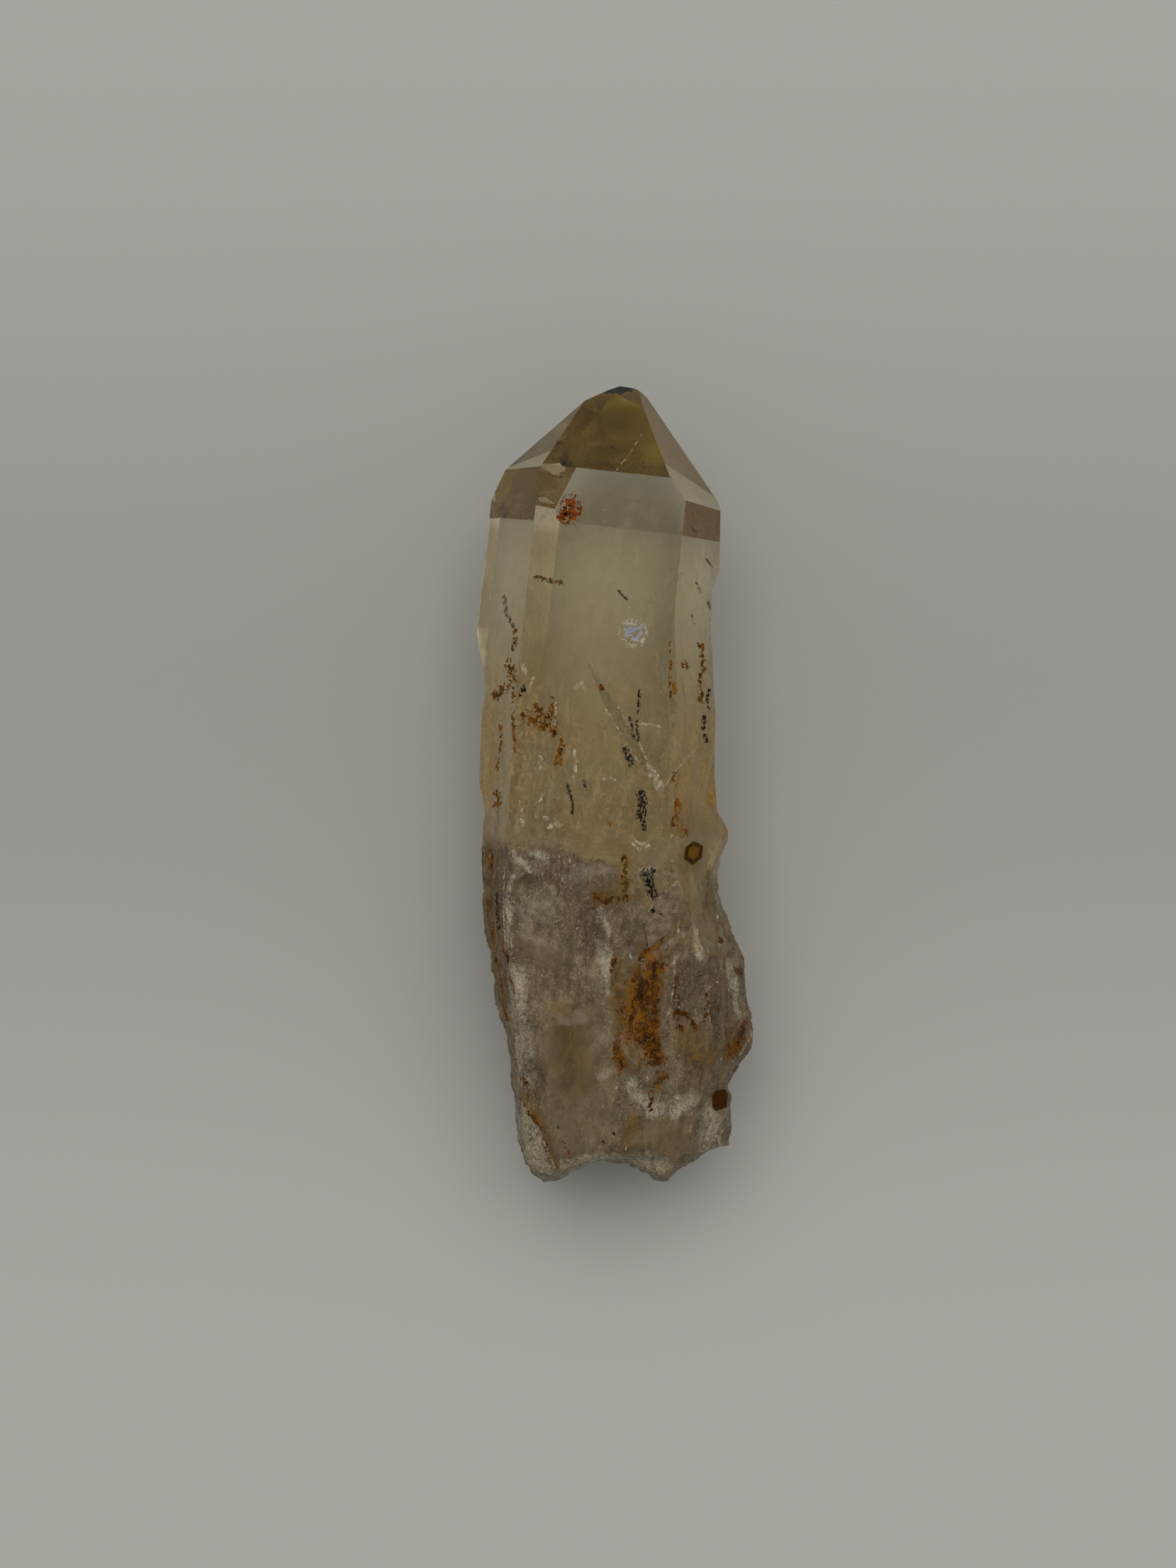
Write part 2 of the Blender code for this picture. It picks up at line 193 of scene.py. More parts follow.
def as_object(name, mesh):
    """Turns a finished bmesh into an object of the scene."""
    data = bpy.data.meshes.new(name)
    mesh.to_mesh(data)
    mesh.free()
    made = bpy.data.objects.new(name, data)
    scene.collection.objects.link(made)
    return made


def new_material(name):
    """A new material, its node tree and its shader."""
    stuff = bpy.data.materials.new(name)
    stuff.use_nodes = True
    return stuff, stuff.node_tree, stuff.node_tree.nodes["Principled BSDF"]


floor_mesh = bmesh.new()
bmesh.ops.create_grid(floor_mesh, x_segments=1, y_segments=1, size=FLOOR_HALF)
bmesh.ops.translate(floor_mesh, verts=floor_mesh.verts[:], vec=(0.0, 0.0, -FLOOR_GAP))
floor = as_object("floor", floor_mesh)
card, tree, shader = new_material("pale card")
spot = Value.node(tree, "ShaderNodeTexCoord", out=3)
card_x, card_y, _ = parts_of(tree, spot)
away = abs(card_y - 0.013)
aside = abs(card_x + 0.0035 - card_y * 0.11)
gathered = (1.0 - abs(card_y - 0.012).between(0.010, 0.022)) * (1.0 - aside.between(0.003, 0.009))
shade = 0.80 + away.between(0.0, 0.085) * 0.20 + gathered * 0.20
Value.plug(shader, {
    "Base Color": toned(tree, shade, CARD_TONE), "Roughness": 0.9, "Specular IOR Level": 0.2,
})
floor.data.materials.append(card)


# The crystal.
# One piece of natural quartz: clear and smoky yellow with flat, mirror-smooth faces
# towards the tip, and ribbed, etched and broken towards its milky, stained root.
LEAN = math.radians(6.3)
FOOT = Vector((-3.35, 0.42))
IOR_QUARTZ = 1.544
TINT = (0.925, 0.745, 0.23, 1.0)
TINT_DENSITY = 20.0
# the finest edges of the root, and how deep its ribs and chips are, in millimetres
FINEST_EDGE = 0.46
RIB_DEPTH = 0.36
CHIP_DEPTH = 0.42
SMALL_CHIP_DEPTH = 0.24
# noise vectors follow the clock unless they start from a set seed
noise.seed_set(11)


def grown(across, along, up):
    """A place in the crystal's own directions, in millimetres, as one in the frame."""
    x = across * math.cos(LEAN) + along * math.sin(LEAN) + FOOT.x
    y = -across * math.sin(LEAN) + along * math.cos(LEAN) + FOOT.y
    return Vector((x, y, up)) / 1000.0


def own(place):
    """A place in the frame, in metres, in the crystal's own directions in millimetres."""
    x, y = place.x * 1000.0 - FOOT.x, place.y * 1000.0 - FOOT.y
    return Vector((
        x * math.cos(LEAN) - y * math.sin(LEAN),
        x * math.sin(LEAN) + y * math.cos(LEAN),
        place.z * 1000.0,
    ))


def ease(value, low, high):
    """Goes softly from 0 at low to 1 at high."""
    share = min(max((value - low) / (high - low), 0.0), 1.0)
    return share * share * (3.0 - 2.0 * share)


def reach(across, along, marks):
    """How deep a place lies inside strokes: 1 on a stroke's line, 0 at its edge, less outside."""
    best = -9.0
    for wide, *line in marks:
        for (from_across, from_along), (to_across, to_along) in zip(line, line[1:] or line):
            run_across, run_along = to_across - from_across, to_along - from_along
            off_across, off_along = across - from_across, along - from_along
            squared = run_across * run_across + run_along * run_along
            share = (off_across * run_across + off_along * run_along) / squared if squared else 0.0
            share = min(max(share, 0.0), 1.0)
            gap = math.hypot(off_across - share * run_across, off_along - share * run_along)
            best = max(best, 1.0 - gap / (wide / 2.0))
    return best


def milky(across, along, place):
    """0 in the clear part, 1 in the milky root."""
    edge = -6.0 - ease(across, -4.0, 4.0) * 2.0 - ease(across, 5.0, 10.0) * 7.0
    side = 1.0 - ease(place.z, 13.0, 19.0)
    wander = noise.fractal(place * 0.34, 0.6, 2.1, 4) * (3.2 + side * 3.0)
    return ease(edge - along + wander, -1.0 - side * 1.5, 2.2 + side * 1.5)


# rust on the skin of the root: the width of each stroke and then its places
RUST_ON_SKIN = (
    (0.9, (10.2, -16.3), (9.3, -18.0), (8.8, -19.4)),
    (3.0, (9.4, -19.5), (9.2, -23.0)),
    (4.8, (8.4, -22.5), (8.6, -27.0)),
    (3.0, (9.8, -26.5), (10.8, -29.8)),
    (0.8, (6.5, -28.4), (7.0, -31.0)),
    (1.4, (19.8, -29.6), (20.8, -28.0), (21.5, -25.8)),
    (1.2, (19.0, -34.2), (19.6, -34.4)),
    (0.9, (-3.7, -34.6), (-3.5, -34.8)),
    (0.8, (6.5, -30.1), (7.7, -31.6)),
    (0.5, (11.5, -32.0), (11.6, -33.4), (11.4, -35.4)),
    (0.5, (12.2, -31.6), (12.7, -32.5)),
    (0.9, (5.2, -19.3), (5.3, -20.3)),
    (0.7, (17.0, -16.1), (17.3, -16.3)),
    (0.7, (19.5, -19.3), (20.1, -19.7)),
    (0.6, (-10.9, -9.0), (-10.6, -13.6), (-9.9, -16.8), (-9.1, -20.0)),
    (0.5, (-9.1, -20.0), (-7.8, -23.8), (-6.8, -28.5)),
    (0.5, (-8.2, -16.6), (-7.2, -20.5), (-6.0, -24.4)),
    (0.6, (-2.5, -35.7), (-1.8, -36.5)),
    (0.6, (1.6, -40.7), (2.8, -42.8)),
    (0.9, (6.4, -30.4), (7.4, -32.2)),
)
# soft golden stains around the rust
GOLD_ON_SKIN = (
    (6.0, (8.8, -19.5), (8.2, -24.0), (8.6, -29.5)),
    (2.4, (5.2, -7.5), (5.4, -11.5)),
    (2.4, (2.4, -12.6), (5.6, -12.2)),
    (2.6, (20.5, -26.0), (19.8, -29.8)),
    (4.5, (14.5, -27.5), (17.0, -30.0)),
    (2.0, (-10.6, -9.0), (-9.5, -18.0), (-7.5, -26.0)),
    (5.5, (0.5, -27.0), (2.0, -33.5)),
    (1.6, (-3.4, -36.6), (-1.0, -39.6), (1.2, -44.4)),
    (3.5, (12.0, -3.0), (12.6, -8.0)),
    (1.8, (6.2, -20.0), (5.8, -24.5)),
    (3.0, (6.9, -24.5), (6.9, -27.0), (7.4, -30.5)),
    (2.0, (9.5, -37.5), (9.0, -42.0)),
)
# white, frosted places
FROST_ON_SKIN = (
    (5.0, (-6.0, -22.5), (-5.0, -27.5), (-4.2, -31.0), (-3.8, -34.0)),
    (4.0, (8.5, -33.5), (10.5, -36.2), (13.5, -36.0), (16.0, -34.5)),
    (1.4, (20.2, -23.5), (20.8, -26.0)),
    (2.4, (18.8, -18.5), (20.0, -23.0)),
    (3.0, (3.9, -18.5), (4.8, -23.0)),
    (1.8, (-7.5, -9.0), (-5.5, -10.5)),
    (5.4, (0.0, -44.6), (5.7, -43.2), (10.0, -43.4), (13.0, -42.6)),
    (6.0, (18.8, -36.5), (19.2, -41.5)),
    (6.5, (-3.6, -39.5), (-1.6, -43.5)),
    (1.8, (-7.6, -11.5), (-7.0, -19.0)),
    (1.6, (2.8, -13.8), (4.2, -17.0)),
    (1.8, (13.6, -13.5), (15.0, -18.0)),
    (2.0, (-5.2, -8.4), (-3.6, -9.0)),
    (5.0, (-3.2, -37.8), (-1.4, -42.5)),
)
# clearer, smoky windows in the milk
CLEAR_IN_SKIN = (
    (9.0, (1.5, -29.5), (2.5, -34.5), (3.0, -39.5)),
    (5.5, (12.5, -39.2), (14.5, -39.6)),
    (3.0, (-4.4, -19.2), (-1.6, -20.0)),
    (4.0, (13.5, -4.0), (12.5, -10.0)),
)
# rosy ribs and flanks
ROSE_ON_SKIN = (
    (6.5, (12.5, -15.5), (12.5, -20.0), (12.0, -25.0)),
    (6.0, (16.5, -20.0), (18.5, -26.0)),
    (4.0, (-9.0, -8.0), (-8.0, -16.0), (-6.5, -24.0)),
    (7.0, (-4.0, -9.5), (0.5, -10.5), (2.0, -17.0)),
)


def chipped(place, size, stretch, seed):
    """Flat chips at many small slopes, like a broken or etched face: 0 to about 1."""
    spot = Vector((place.x / size, place.y / (size * stretch), place.z / size + seed))
    centre = noise.voronoi(spot, distance_metric="DISTANCE", exponent=2.5)[1][0]
    slope = noise.cell_vector(centre * 7.0) - Vector((0.5, 0.5, 0.5))
    return min(max(0.5 + (spot - centre).dot(slope) * 1.3, 0.0), 1.0)


body_mesh = bmesh.new()
body_mesh.from_mesh(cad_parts["crystal"].data)
bmesh.ops.remove_doubles(body_mesh, verts=body_mesh.verts[:], dist=1e-6)
for _ in range(8):
    long_edges = []
    for edge in body_mesh.edges:
        first, second = (own(vert.co) for vert in edge.verts)
        nearest = min(first.y, second.y)
        middle = (first.y + second.y) / 2.0
        wanted = FINEST_EDGE * (1.0 + max(0.0, middle + 4.0) * 0.8)
        if nearest < 8.0 and (first - second).length > wanted * 1.5:
            long_edges.append(edge)
    if not long_edges:
        break
    bmesh.ops.subdivide_edges(body_mesh, edges=long_edges, cuts=1)
    bmesh.ops.triangulate(body_mesh, faces=[face for face in body_mesh.faces if len(face.verts) > 3])
soft = [vert for vert in body_mesh.verts if own(vert.co).y < -7.0 and vert.co.z > 0.0003]
bmesh.ops.smooth_vert(
    body_mesh, verts=soft, factor=0.5, use_axis_x=True, use_axis_y=True, use_axis_z=True,
)
body_mesh.normal_update()
# what grew or settled at each corner of the mesh, as numbers that the material reads;
# the frost numbers also hold painted light on the steep sides of the broken end, and
# the hollow numbers, how deep the skin is pressed in, darken the milk there as painted shade
layers = {
    name: body_mesh.verts.layers.float.new(name)
    for name in ("rust", "milk", "frost", "rose", "gold", "hollow")
}
pressed = []
for vert in body_mesh.verts:
    place = own(vert.co)
    milk_here = milky(place.x, place.y, place)
    drift = noise.noise_vector(place * 0.7) * 0.45 + noise.noise_vector(place * 2.0) * 0.2
    across, along = place.x + drift.x, place.y + drift.y
    facing = ease(vert.normal.z, -0.2, 0.3)
    root_share = ease(-5.0 - place.y, 0.0, 3.0)
    rust_here = max(0.0, reach(across, along, RUST_ON_SKIN) + 0.6) / 1.3 * facing
    gold_here = ease(reach(across, along, GOLD_ON_SKIN), -0.5, 0.7) * facing
    hollow = noise.fractal(place * 0.35 + Vector((7.0, 3.0, 1.0)), 0.7, 2.1, 4)
    rust_here = max(rust_here, (1.0 - facing) * ease(hollow, 0.28, 0.7))
    frost_and_rim_light_here = ease(reach(across, along, FROST_ON_SKIN), 0.0, 0.9) * facing
    frost_and_rim_light_here = max(frost_and_rim_light_here, (1.0 - facing) * ease(-hollow, 0.2, 0.6))
    # painted light: the steep sides of the broken end get pale frost, so they look lit through where they
    # fall in shade
    broken = ease(-33.0 - place.y, 0.0, 5.0) * (1.0 - ease(vert.normal.z, 0.3, 0.9))
    frost_and_rim_light_here = max(frost_and_rim_light_here, broken * (0.50 - hollow * 0.5))
    window = ease(reach(across, along, CLEAR_IN_SKIN), -0.1, 0.6) * facing
    vert[layers["rust"]] = min(rust_here, 1.0) * root_share
    vert[layers["milk"]] = milk_here * (1.0 - 0.5 * window)
    vert[layers["gold"]] = gold_here
    vert[layers["frost"]] = frost_and_rim_light_here * root_share
    vert[layers["rose"]] = ease(reach(across, along, ROSE_ON_SKIN), -0.1, 0.7) * root_share
    if place.y < -6.0 and place.z > 0.25:
        ribs = abs(noise.fractal(Vector((place.x * 1.5, place.y * 0.13, place.z * 1.2)), 0.8, 2.0, 3))
        chips = chipped(place, 1.6, 2.6, 3.0) * CHIP_DEPTH
        chips += chipped(place, 0.8, 2.0, 9.0) * SMALL_CHIP_DEPTH
        calm = 1.0 - 0.75 * window
        press = (ribs * RIB_DEPTH + chips) * calm * ease(-6.0 - place.y, 0.0, 3.0)
        vert[layers["hollow"]] = press
        pressed.append((vert, vert.normal.copy() * (-press / 1000.0)))
for vert, shift in pressed:
    vert.co += shift
skin_tree = BVHTree.FromBMesh(body_mesh)
body = as_object("citrine_crystal", body_mesh)
body.data.set_sharp_from_angle(angle=math.radians(32.0))
for polygon in body.data.polygons:
    polygon.use_smooth = own(polygon.center).y < -5.0


def crystal_directions(tree):
    """Where a point is across, along and up the crystal, in millimetres."""
    turned = Matrix.Rotation(LEAN, 2) @ FOOT
    return Value.node(tree, "ShaderNodeMapping", sockets={
        "Vector": Value.node(tree, "ShaderNodeTexCoord", out=3),
        "Scale": (1000.0, 1000.0, 1000.0),
        "Rotation": (0.0, 0.0, LEAN),
        "Location": (-turned.x, -turned.y, 0.0),
    })


def clouds(tree, vector, scale, detail=3.0, roughness=0.5, stretch=(1.0, 1.0, 1.0)):
    """Soft noise between 0 and 1, its scale in parts per millimetre."""
    if stretch != (1.0, 1.0, 1.0):
        vector = Value.node(tree, "ShaderNodeMapping", sockets={"Vector": vector, "Scale": stretch})
    return Value.node(tree, "ShaderNodeTexNoise", sockets={
        "Vector": vector, "Scale": scale, "Detail": detail, "Roughness": roughness,
    })


def blend_colours(tree, share, first, second):
    """A colour between two others."""
    return Value.node(
        tree, "ShaderNodeMix", {"data_type": "RGBA"}, {0: share, 6: first, 7: second}, out=2,
    )


def flat_chips(tree, vector, scale, stretch):
    """A number between 0 and 1 for each chip of a broken surface, with sharp edges between."""
    spot = Value.node(tree, "ShaderNodeMapping", sockets={"Vector": vector, "Scale": stretch})
    cells = Value.node(tree, "ShaderNodeTexVoronoi", sockets={
        "Vector": spot, "Scale": scale, "Detail": 1.0, "Roughness": 0.6,
    }, out=1)
    return Value.node(tree, "ShaderNodeSeparateColor", sockets={0: cells})


def from_mesh(tree, name):
    """A number kept at the corners of the mesh."""
    return Value.node(tree, "ShaderNodeAttribute", {"attribute_name": name}, out=2)


quartz, tree, _ = new_material("clear citrine")
tree.nodes.clear()
where = crystal_directions(tree)
across, along, up = parts_of(tree, where)
milk_here = from_mesh(tree, "milk")
rust_here = from_mesh(tree, "rust")
frost_and_rim_light_here = from_mesh(tree, "frost")
rose_here = from_mesh(tree, "rose")
broad = clouds(tree, where, 0.30, 2.0, 0.6)
patches = clouds(tree, where, 0.8, 3.0, 0.65, (1.0, 0.5, 1.0))
flecks = clouds(tree, where, 1.9, 2.0, 0.65)
grains = clouds(tree, where, 3.8, 1.0, 0.6)
streaks = clouds(tree, where, 1.3, 3.0, 0.65, (1.0, 0.14, 1.0))
fine_ribs = clouds(tree, where, 2.6, 2.0, 0.6, (1.0, 0.09, 1.0))
gold_here = from_mesh(tree, "gold")
hollow_here = from_mesh(tree, "hollow")
big_chips = flat_chips(tree, where, 0.75, (1.0, 0.45, 1.0))
small_chips = flat_chips(tree, where, 2.0, (1.0, 0.5, 1.0))
torn = (flecks - 0.5) * 1.2 + (streaks - 0.5) * 0.8 + (grains - 0.5) * 0.7
stain = (rust_here + torn * 1.1).between(0.54, 0.82) * rust_here.between(0.15, 0.35)
veins = 1.0 - abs(flecks - 0.5).between(0.0, 0.075)
deep_stain = rust_here * 0.6 + veins * 0.25 + (patches - 0.5) * 2.4 + (streaks - 0.5) * 1.6
deep_stain = deep_stain.between(0.70, 1.00)
gold = gold_here * (0.35 + (torn + gold_here).between(0.2, 1.0) * 0.65)
frost = frost_and_rim_light_here + (patches - 0.5) * 1.4 + (flecks - 0.5) * 0.8 + (grains - 0.5) * 1.2
frost = frost.between(0.15, 1.25) * frost_and_rim_light_here.between(0.0, 0.9)
tip_dirt = (along - 45.3 - across.between(-1.5, 1.0) + (flecks - 0.5) * 1.6).between(-0.15, 0.15)
left_flank = 1.0 - across.between(-11.8, -9.2)
right_flank = across.between(8.4, 11.4) * up.between(4.0, 9.0) * (0.35 + along.between(-7.0, 1.0) * 0.65)
fading = 1.0 - along.between(2.0, 21.0)
flank = left_flank.most(right_flank) * fading
# painted shade: a dull film along the upper left edge dims the bright strip of light that is refracted there
painted_strip_shade = (1.0 - across.between(-6.9, -5.6)) * up.between(16.0, 18.0) * (1.0 - along.between(5.0, 17.0))
middle = (1.0 - along.between(3.0, 20.0)) * up.between(17.0, 19.0)
# a worn, dusty film on the flanks and the top, with the painted shade over the upper left edge
wear_and_strip_shade = (left_flank * 1.5).most(right_flank).most(painted_strip_shade * 0.8 / fading.most(0.3)) * fading * (
    0.18 + streaks.between(0.42, 0.66) * 0.22 + flecks.between(0.48, 0.68) * 0.30
)
wear_and_strip_shade = wear_and_strip_shade.most(middle * (0.10 + flecks.between(0.46, 0.64) * 0.12 + patches.between(0.4, 0.7) * 0.14))
dust = 0.02 + patches.between(0.45, 0.75) * 0.10 + grains.between(0.5, 0.7) * 0.05
dust = dust * (1.0 - along.between(33.0, 35.0))
rust_dots = (flecks + (grains - 0.5) * 0.4).between(0.66, 0.72) * flank * broad.between(0.42, 0.52)
# painted reflection: a dull golden film on the lower left wall stands in for the golden light that this wall
# throws back inside the crystal; the wall is made rougher too
painted_reflection_wall = (1.0 - up.between(10.0, 12.0)) * (1.0 - across.between(-7.0, -6.5))
painted_reflection_wall = painted_reflection_wall * (1.0 - along.between(28.0, 31.0))
milk_share = 0.48 + broad.between(0.35, 0.65) * 0.14 + streaks.between(0.40, 0.75) * 0.22
milk_share = milk_here * (milk_share + flecks.between(0.42, 0.62) * 0.16)
share = milk_share.most(frost * 0.88).most(stain * 0.96).most(tip_dirt * 0.85).most(wear_and_strip_shade).most(dust)
share = share.most(rust_dots * 0.9).most(painted_reflection_wall * 0.55)
share = share.most(gold * 0.6 * milk_here.most(0.35)).least(1.0)
pale_grains = frost.most(grains.between(0.55, 0.70) * 0.55)
dark_flecks = flecks.between(0.56, 0.68) * 0.7 * (1.0 - frost * 0.6)
milk_colour_and_shade = blend_colours(
    tree, patches.between(0.35, 0.65), (0.188, 0.132, 0.066, 1.0), (0.274, 0.204, 0.120, 1.0),
)
milk_colour_and_shade = blend_colours(tree, rose_here * 0.9, milk_colour_and_shade, (0.184, 0.122, 0.076, 1.0))
milk_colour_and_shade = blend_colours(tree, pale_grains, milk_colour_and_shade, (0.45, 0.39, 0.275, 1.0))
milk_colour_and_shade = blend_colours(tree, dark_flecks, milk_colour_and_shade, (0.125, 0.074, 0.028, 1.0))
dry_colour = blend_colours(tree, middle, (0.43, 0.345, 0.185, 1.0), (0.43, 0.31, 0.145, 1.0))
dry_colour = blend_colours(tree, (flank * 1.4).least(1.0), dry_colour, (0.40, 0.230, 0.045, 1.0))
milk_colour_and_shade = blend_colours(tree, milk_here, dry_colour, milk_colour_and_shade)
milk_colour_and_shade = blend_colours(tree, gold * 0.85, milk_colour_and_shade, (0.205, 0.112, 0.024, 1.0))
# painted light and shade of the relief: the milk is darker where the skin is pressed into hollows, and each
# flat chip and rib is painted lighter or darker, like a facet catching the light; the grains add tone that
# differs at random
combed = (fine_ribs - 0.5) * (0.35 + rose_here * 1.1)
shading = 0.72 + big_chips * 0.28 + small_chips * 0.34 + grains * 0.30 - hollow_here * 0.60 + combed
milk_colour_and_shade = Value.node(tree, "ShaderNodeMix", {"data_type": "RGBA", "blend_type": "MULTIPLY"}, {
    0: 1.0, 6: milk_colour_and_shade, 7: Value.node(tree, "ShaderNodeCombineColor", sockets={
        "Red": shading, "Green": shading, "Blue": shading,
    }),
}, out=2)
blotches = (patches + (grains - 0.5) * 0.6).between(0.38, 0.60)
rust_colour = blend_colours(tree, blotches, (0.29, 0.115, 0.004, 1.0), (0.125, 0.040, 0.002, 1.0))
rust_colour = blend_colours(tree, deep_stain, rust_colour, (0.045, 0.016, 0.002, 1.0))
solid_colour = blend_colours(tree, stain.most(rust_dots), milk_colour_and_shade, rust_colour)
solid_colour = blend_colours(tree, tip_dirt, solid_colour, (0.03, 0.034, 0.026, 1.0))
rough = 0.012 + milk_here * (0.10 + broad * 0.15) + painted_reflection_wall * 0.25
relief = Value.node(tree, "ShaderNodeBump", sockets={
    "Height": fine_ribs * 0.6 + flecks * 0.4 + big_chips * 0.5 + small_chips * 0.25,
    "Distance": 0.00016, "Strength": (milk_here * 0.9).most(flank * 0.4),
})
clear = Value.node(tree, "ShaderNodeBsdfPrincipled", sockets={
    "Base Color": (1.0, 1.0, 1.0, 1.0), "Roughness": rough, "IOR": IOR_QUARTZ,
    "Transmission Weight": 1.0, "Normal": relief,
})
milk = Value.node(tree, "ShaderNodeBsdfPrincipled", sockets={
    "Base Color": solid_colour, "Roughness": 0.5, "IOR": IOR_QUARTZ,
    "Transmission Weight": 0.0, "Specular IOR Level": 0.12, "Normal": relief,
})
skin = Value.node(tree, "ShaderNodeMixShader", sockets={0: share, 1: clear, 2: milk})
tint = Value.node(tree, "ShaderNodeVolumeAbsorption", sockets={
    "Color": TINT, "Density": TINT_DENSITY,
})
out = tree.nodes.new("ShaderNodeOutputMaterial")
tree.links.new(skin.socket, out.inputs["Surface"])
tree.links.new(tint.socket, out.inputs["Volume"])
body.data.materials.clear()
body.data.materials.append(quartz)
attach(body, "root")
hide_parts("crystal")


# The milk inside the root.
# Veils of tiny bubbles grown into the quartz, thick from the middle down to the broken
# end and thin as smoke further up; made as three skins, each inside the next.
STEP_ALONG = 3.0
LONGEST_VEIL_EDGE = 0.0026
LEAST_DEPTH = 0.00025
PUSHED_DEPTH = 0.0004


def middle_line(places):
    """The middle of the crystal across and up, for each step along it."""
    steps = {}
    for place in places:
        steps.setdefault(round(place.y / STEP_ALONG), []).append(place)
    line = {}
    for step, group in steps.items():
        line[step] = (
            (min(p.x for p in group) + max(p.x for p in group)) / 2.0,
            (min(p.z for p in group) + max(p.z for p in group)) / 2.0,
        )
    return line


def veil(name, width, shorten, front):
    """A skin inside the crystal, its cross-section shrunk to a share of the real one."""
    mesh = bmesh.new()
    mesh.from_mesh(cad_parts["crystal"].data)
    bmesh.ops.remove_doubles(mesh, verts=mesh.verts[:], dist=1e-6)
    for _ in range(4):
        long_edges = [edge for edge in mesh.edges if edge.calc_length() > LONGEST_VEIL_EDGE]
        if long_edges:
            bmesh.ops.subdivide_edges(mesh, edges=long_edges, cuts=1)
            bmesh.ops.triangulate(mesh, faces=[face for face in mesh.faces if len(face.verts) > 3])
    mesh.normal_update()
    window_layer = mesh.verts.layers.float.new("window")
    places = [own(vert.co) for vert in mesh.verts]
    line = middle_line(places)
    steps = sorted(line)
    for vert, place in zip(mesh.verts, places):
        exact = place.y / STEP_ALONG
        low = min(max(math.floor(exact), steps[0]), steps[-1] - 1)
        part = min(max(exact - low, 0.0), 1.0)
        centre = [line[low][i] * (1.0 - part) + line[low + 1][i] * part for i in (0, 1)]
        keep = width + noise.fractal(place * 0.22 + Vector((0.0, 0.0, width * 50.0)), 0.8, 2.0, 3) * 0.05
        inner = Vector((
            centre[0] + (place.x - centre[0]) * keep,
            -8.0 + (place.y + 8.0) * shorten,
            centre[1] + (place.z - centre[1]) * keep,
        ))
        spot = grown(inner.x, inner.y, inner.z)
        near, normal, _, _ = skin_tree.find_nearest(spot)
        if (spot - near).dot(normal) > -LEAST_DEPTH:
            spot = near - normal * PUSHED_DEPTH
        vert.co = spot
        window = ease(reach(inner.x, inner.y, CLEAR_IN_SKIN), -0.3, 0.6) * ease(vert.normal.z, -0.2, 0.3)
        vert[window_layer] = window
    geometry = mesh.verts[:] + mesh.edges[:] + mesh.faces[:]
    cut = bmesh.ops.bisect_plane(
        mesh, geom=geometry, plane_co=grown(0.0, front, 10.0),
        plane_no=grown(0.0, 1.0, 0.0) - grown(0.0, 0.0, 0.0), clear_outer=True,
    )
    rim = [item for item in cut["geom_cut"] if isinstance(item, bmesh.types.BMEdge)]
    bmesh.ops.holes_fill(mesh, edges=rim, sides=0)
    bmesh.ops.recalc_face_normals(mesh, faces=mesh.faces[:])
    for face in mesh.faces:
        face.smooth = True
    return as_object(name, mesh)


def veil_material(name, front, offset, haze, strength):
    """Milk that lets light through in places, and has faded away before its front end."""
    stuff, tree, shader = new_material(name)
    where = crystal_directions(tree)
    shifted = Value.node(tree, "ShaderNodeMapping", sockets={
        "Vector": where, "Location": (offset, 0.0, offset),
    })
    across, along, _ = parts_of(tree, where)
    wander = (clouds(tree, shifted, 0.25, 2.0, 0.6) - 0.5) * 7.0
    edge = -7.0 - across.between(-4.0, 4.0) * 2.0 - across.between(5.0, 11.0) * 6.0
    milk_here = (edge - along + wander).between(-2.0, 2.5)
    broad = clouds(tree, shifted, 0.16, 2.0, 0.6)
    wisps = clouds(tree, shifted, 0.9, 3.0, 0.65, (1.0, 0.22, 1.0))
    flecks = clouds(tree, shifted, 1.7, 1.0, 0.7, (1.0, 0.5, 1.0))
    fade = 1.0 - along.between(front - 14.0, front - 0.5)
    smoke = haze * fade * (0.25 + broad.between(0.35, 0.75) + wisps.between(0.5, 0.8) * 0.6)
    thick = strength * (0.55 + broad.between(0.3, 0.7) * 0.35 + wisps.between(0.4, 0.7) * 0.25)
    alpha = (smoke + milk_here * thick * (1.0 - from_mesh(tree, "window") * 0.75)).least(1.0)
    colour = blend_colours(tree, milk_here, (0.88, 0.67, 0.37, 1.0), (0.58, 0.43, 0.24, 1.0))
    pale = flecks.between(0.5, 0.8) * (0.25 + milk_here * 0.4)
    Value.plug(shader, {
        "Base Color": blend_colours(tree, pale, colour, (0.80, 0.70, 0.52, 1.0)),
        "Alpha": alpha, "Roughness": 1.0, "Specular IOR Level": 0.0,
    })
    return stuff


for name, width, shorten, front, offset, haze, strength in (
    ("milky_veil_outer", 0.91, 0.965, 26.0, 3.0, 0.10, 0.30),
    ("milky_veil_inner", 0.70, 0.92, 22.0, 17.0, 0.13, 0.50),
    ("milky_core", 0.45, 0.86, 18.0, 31.0, 0.16, 0.95),
):
    piece = veil(name, width, shorten, front)
    thin_milk = veil_material(name.replace("_", " "), front, offset, haze, strength)
    piece.data.materials.append(thin_milk)
    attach(piece, "root")


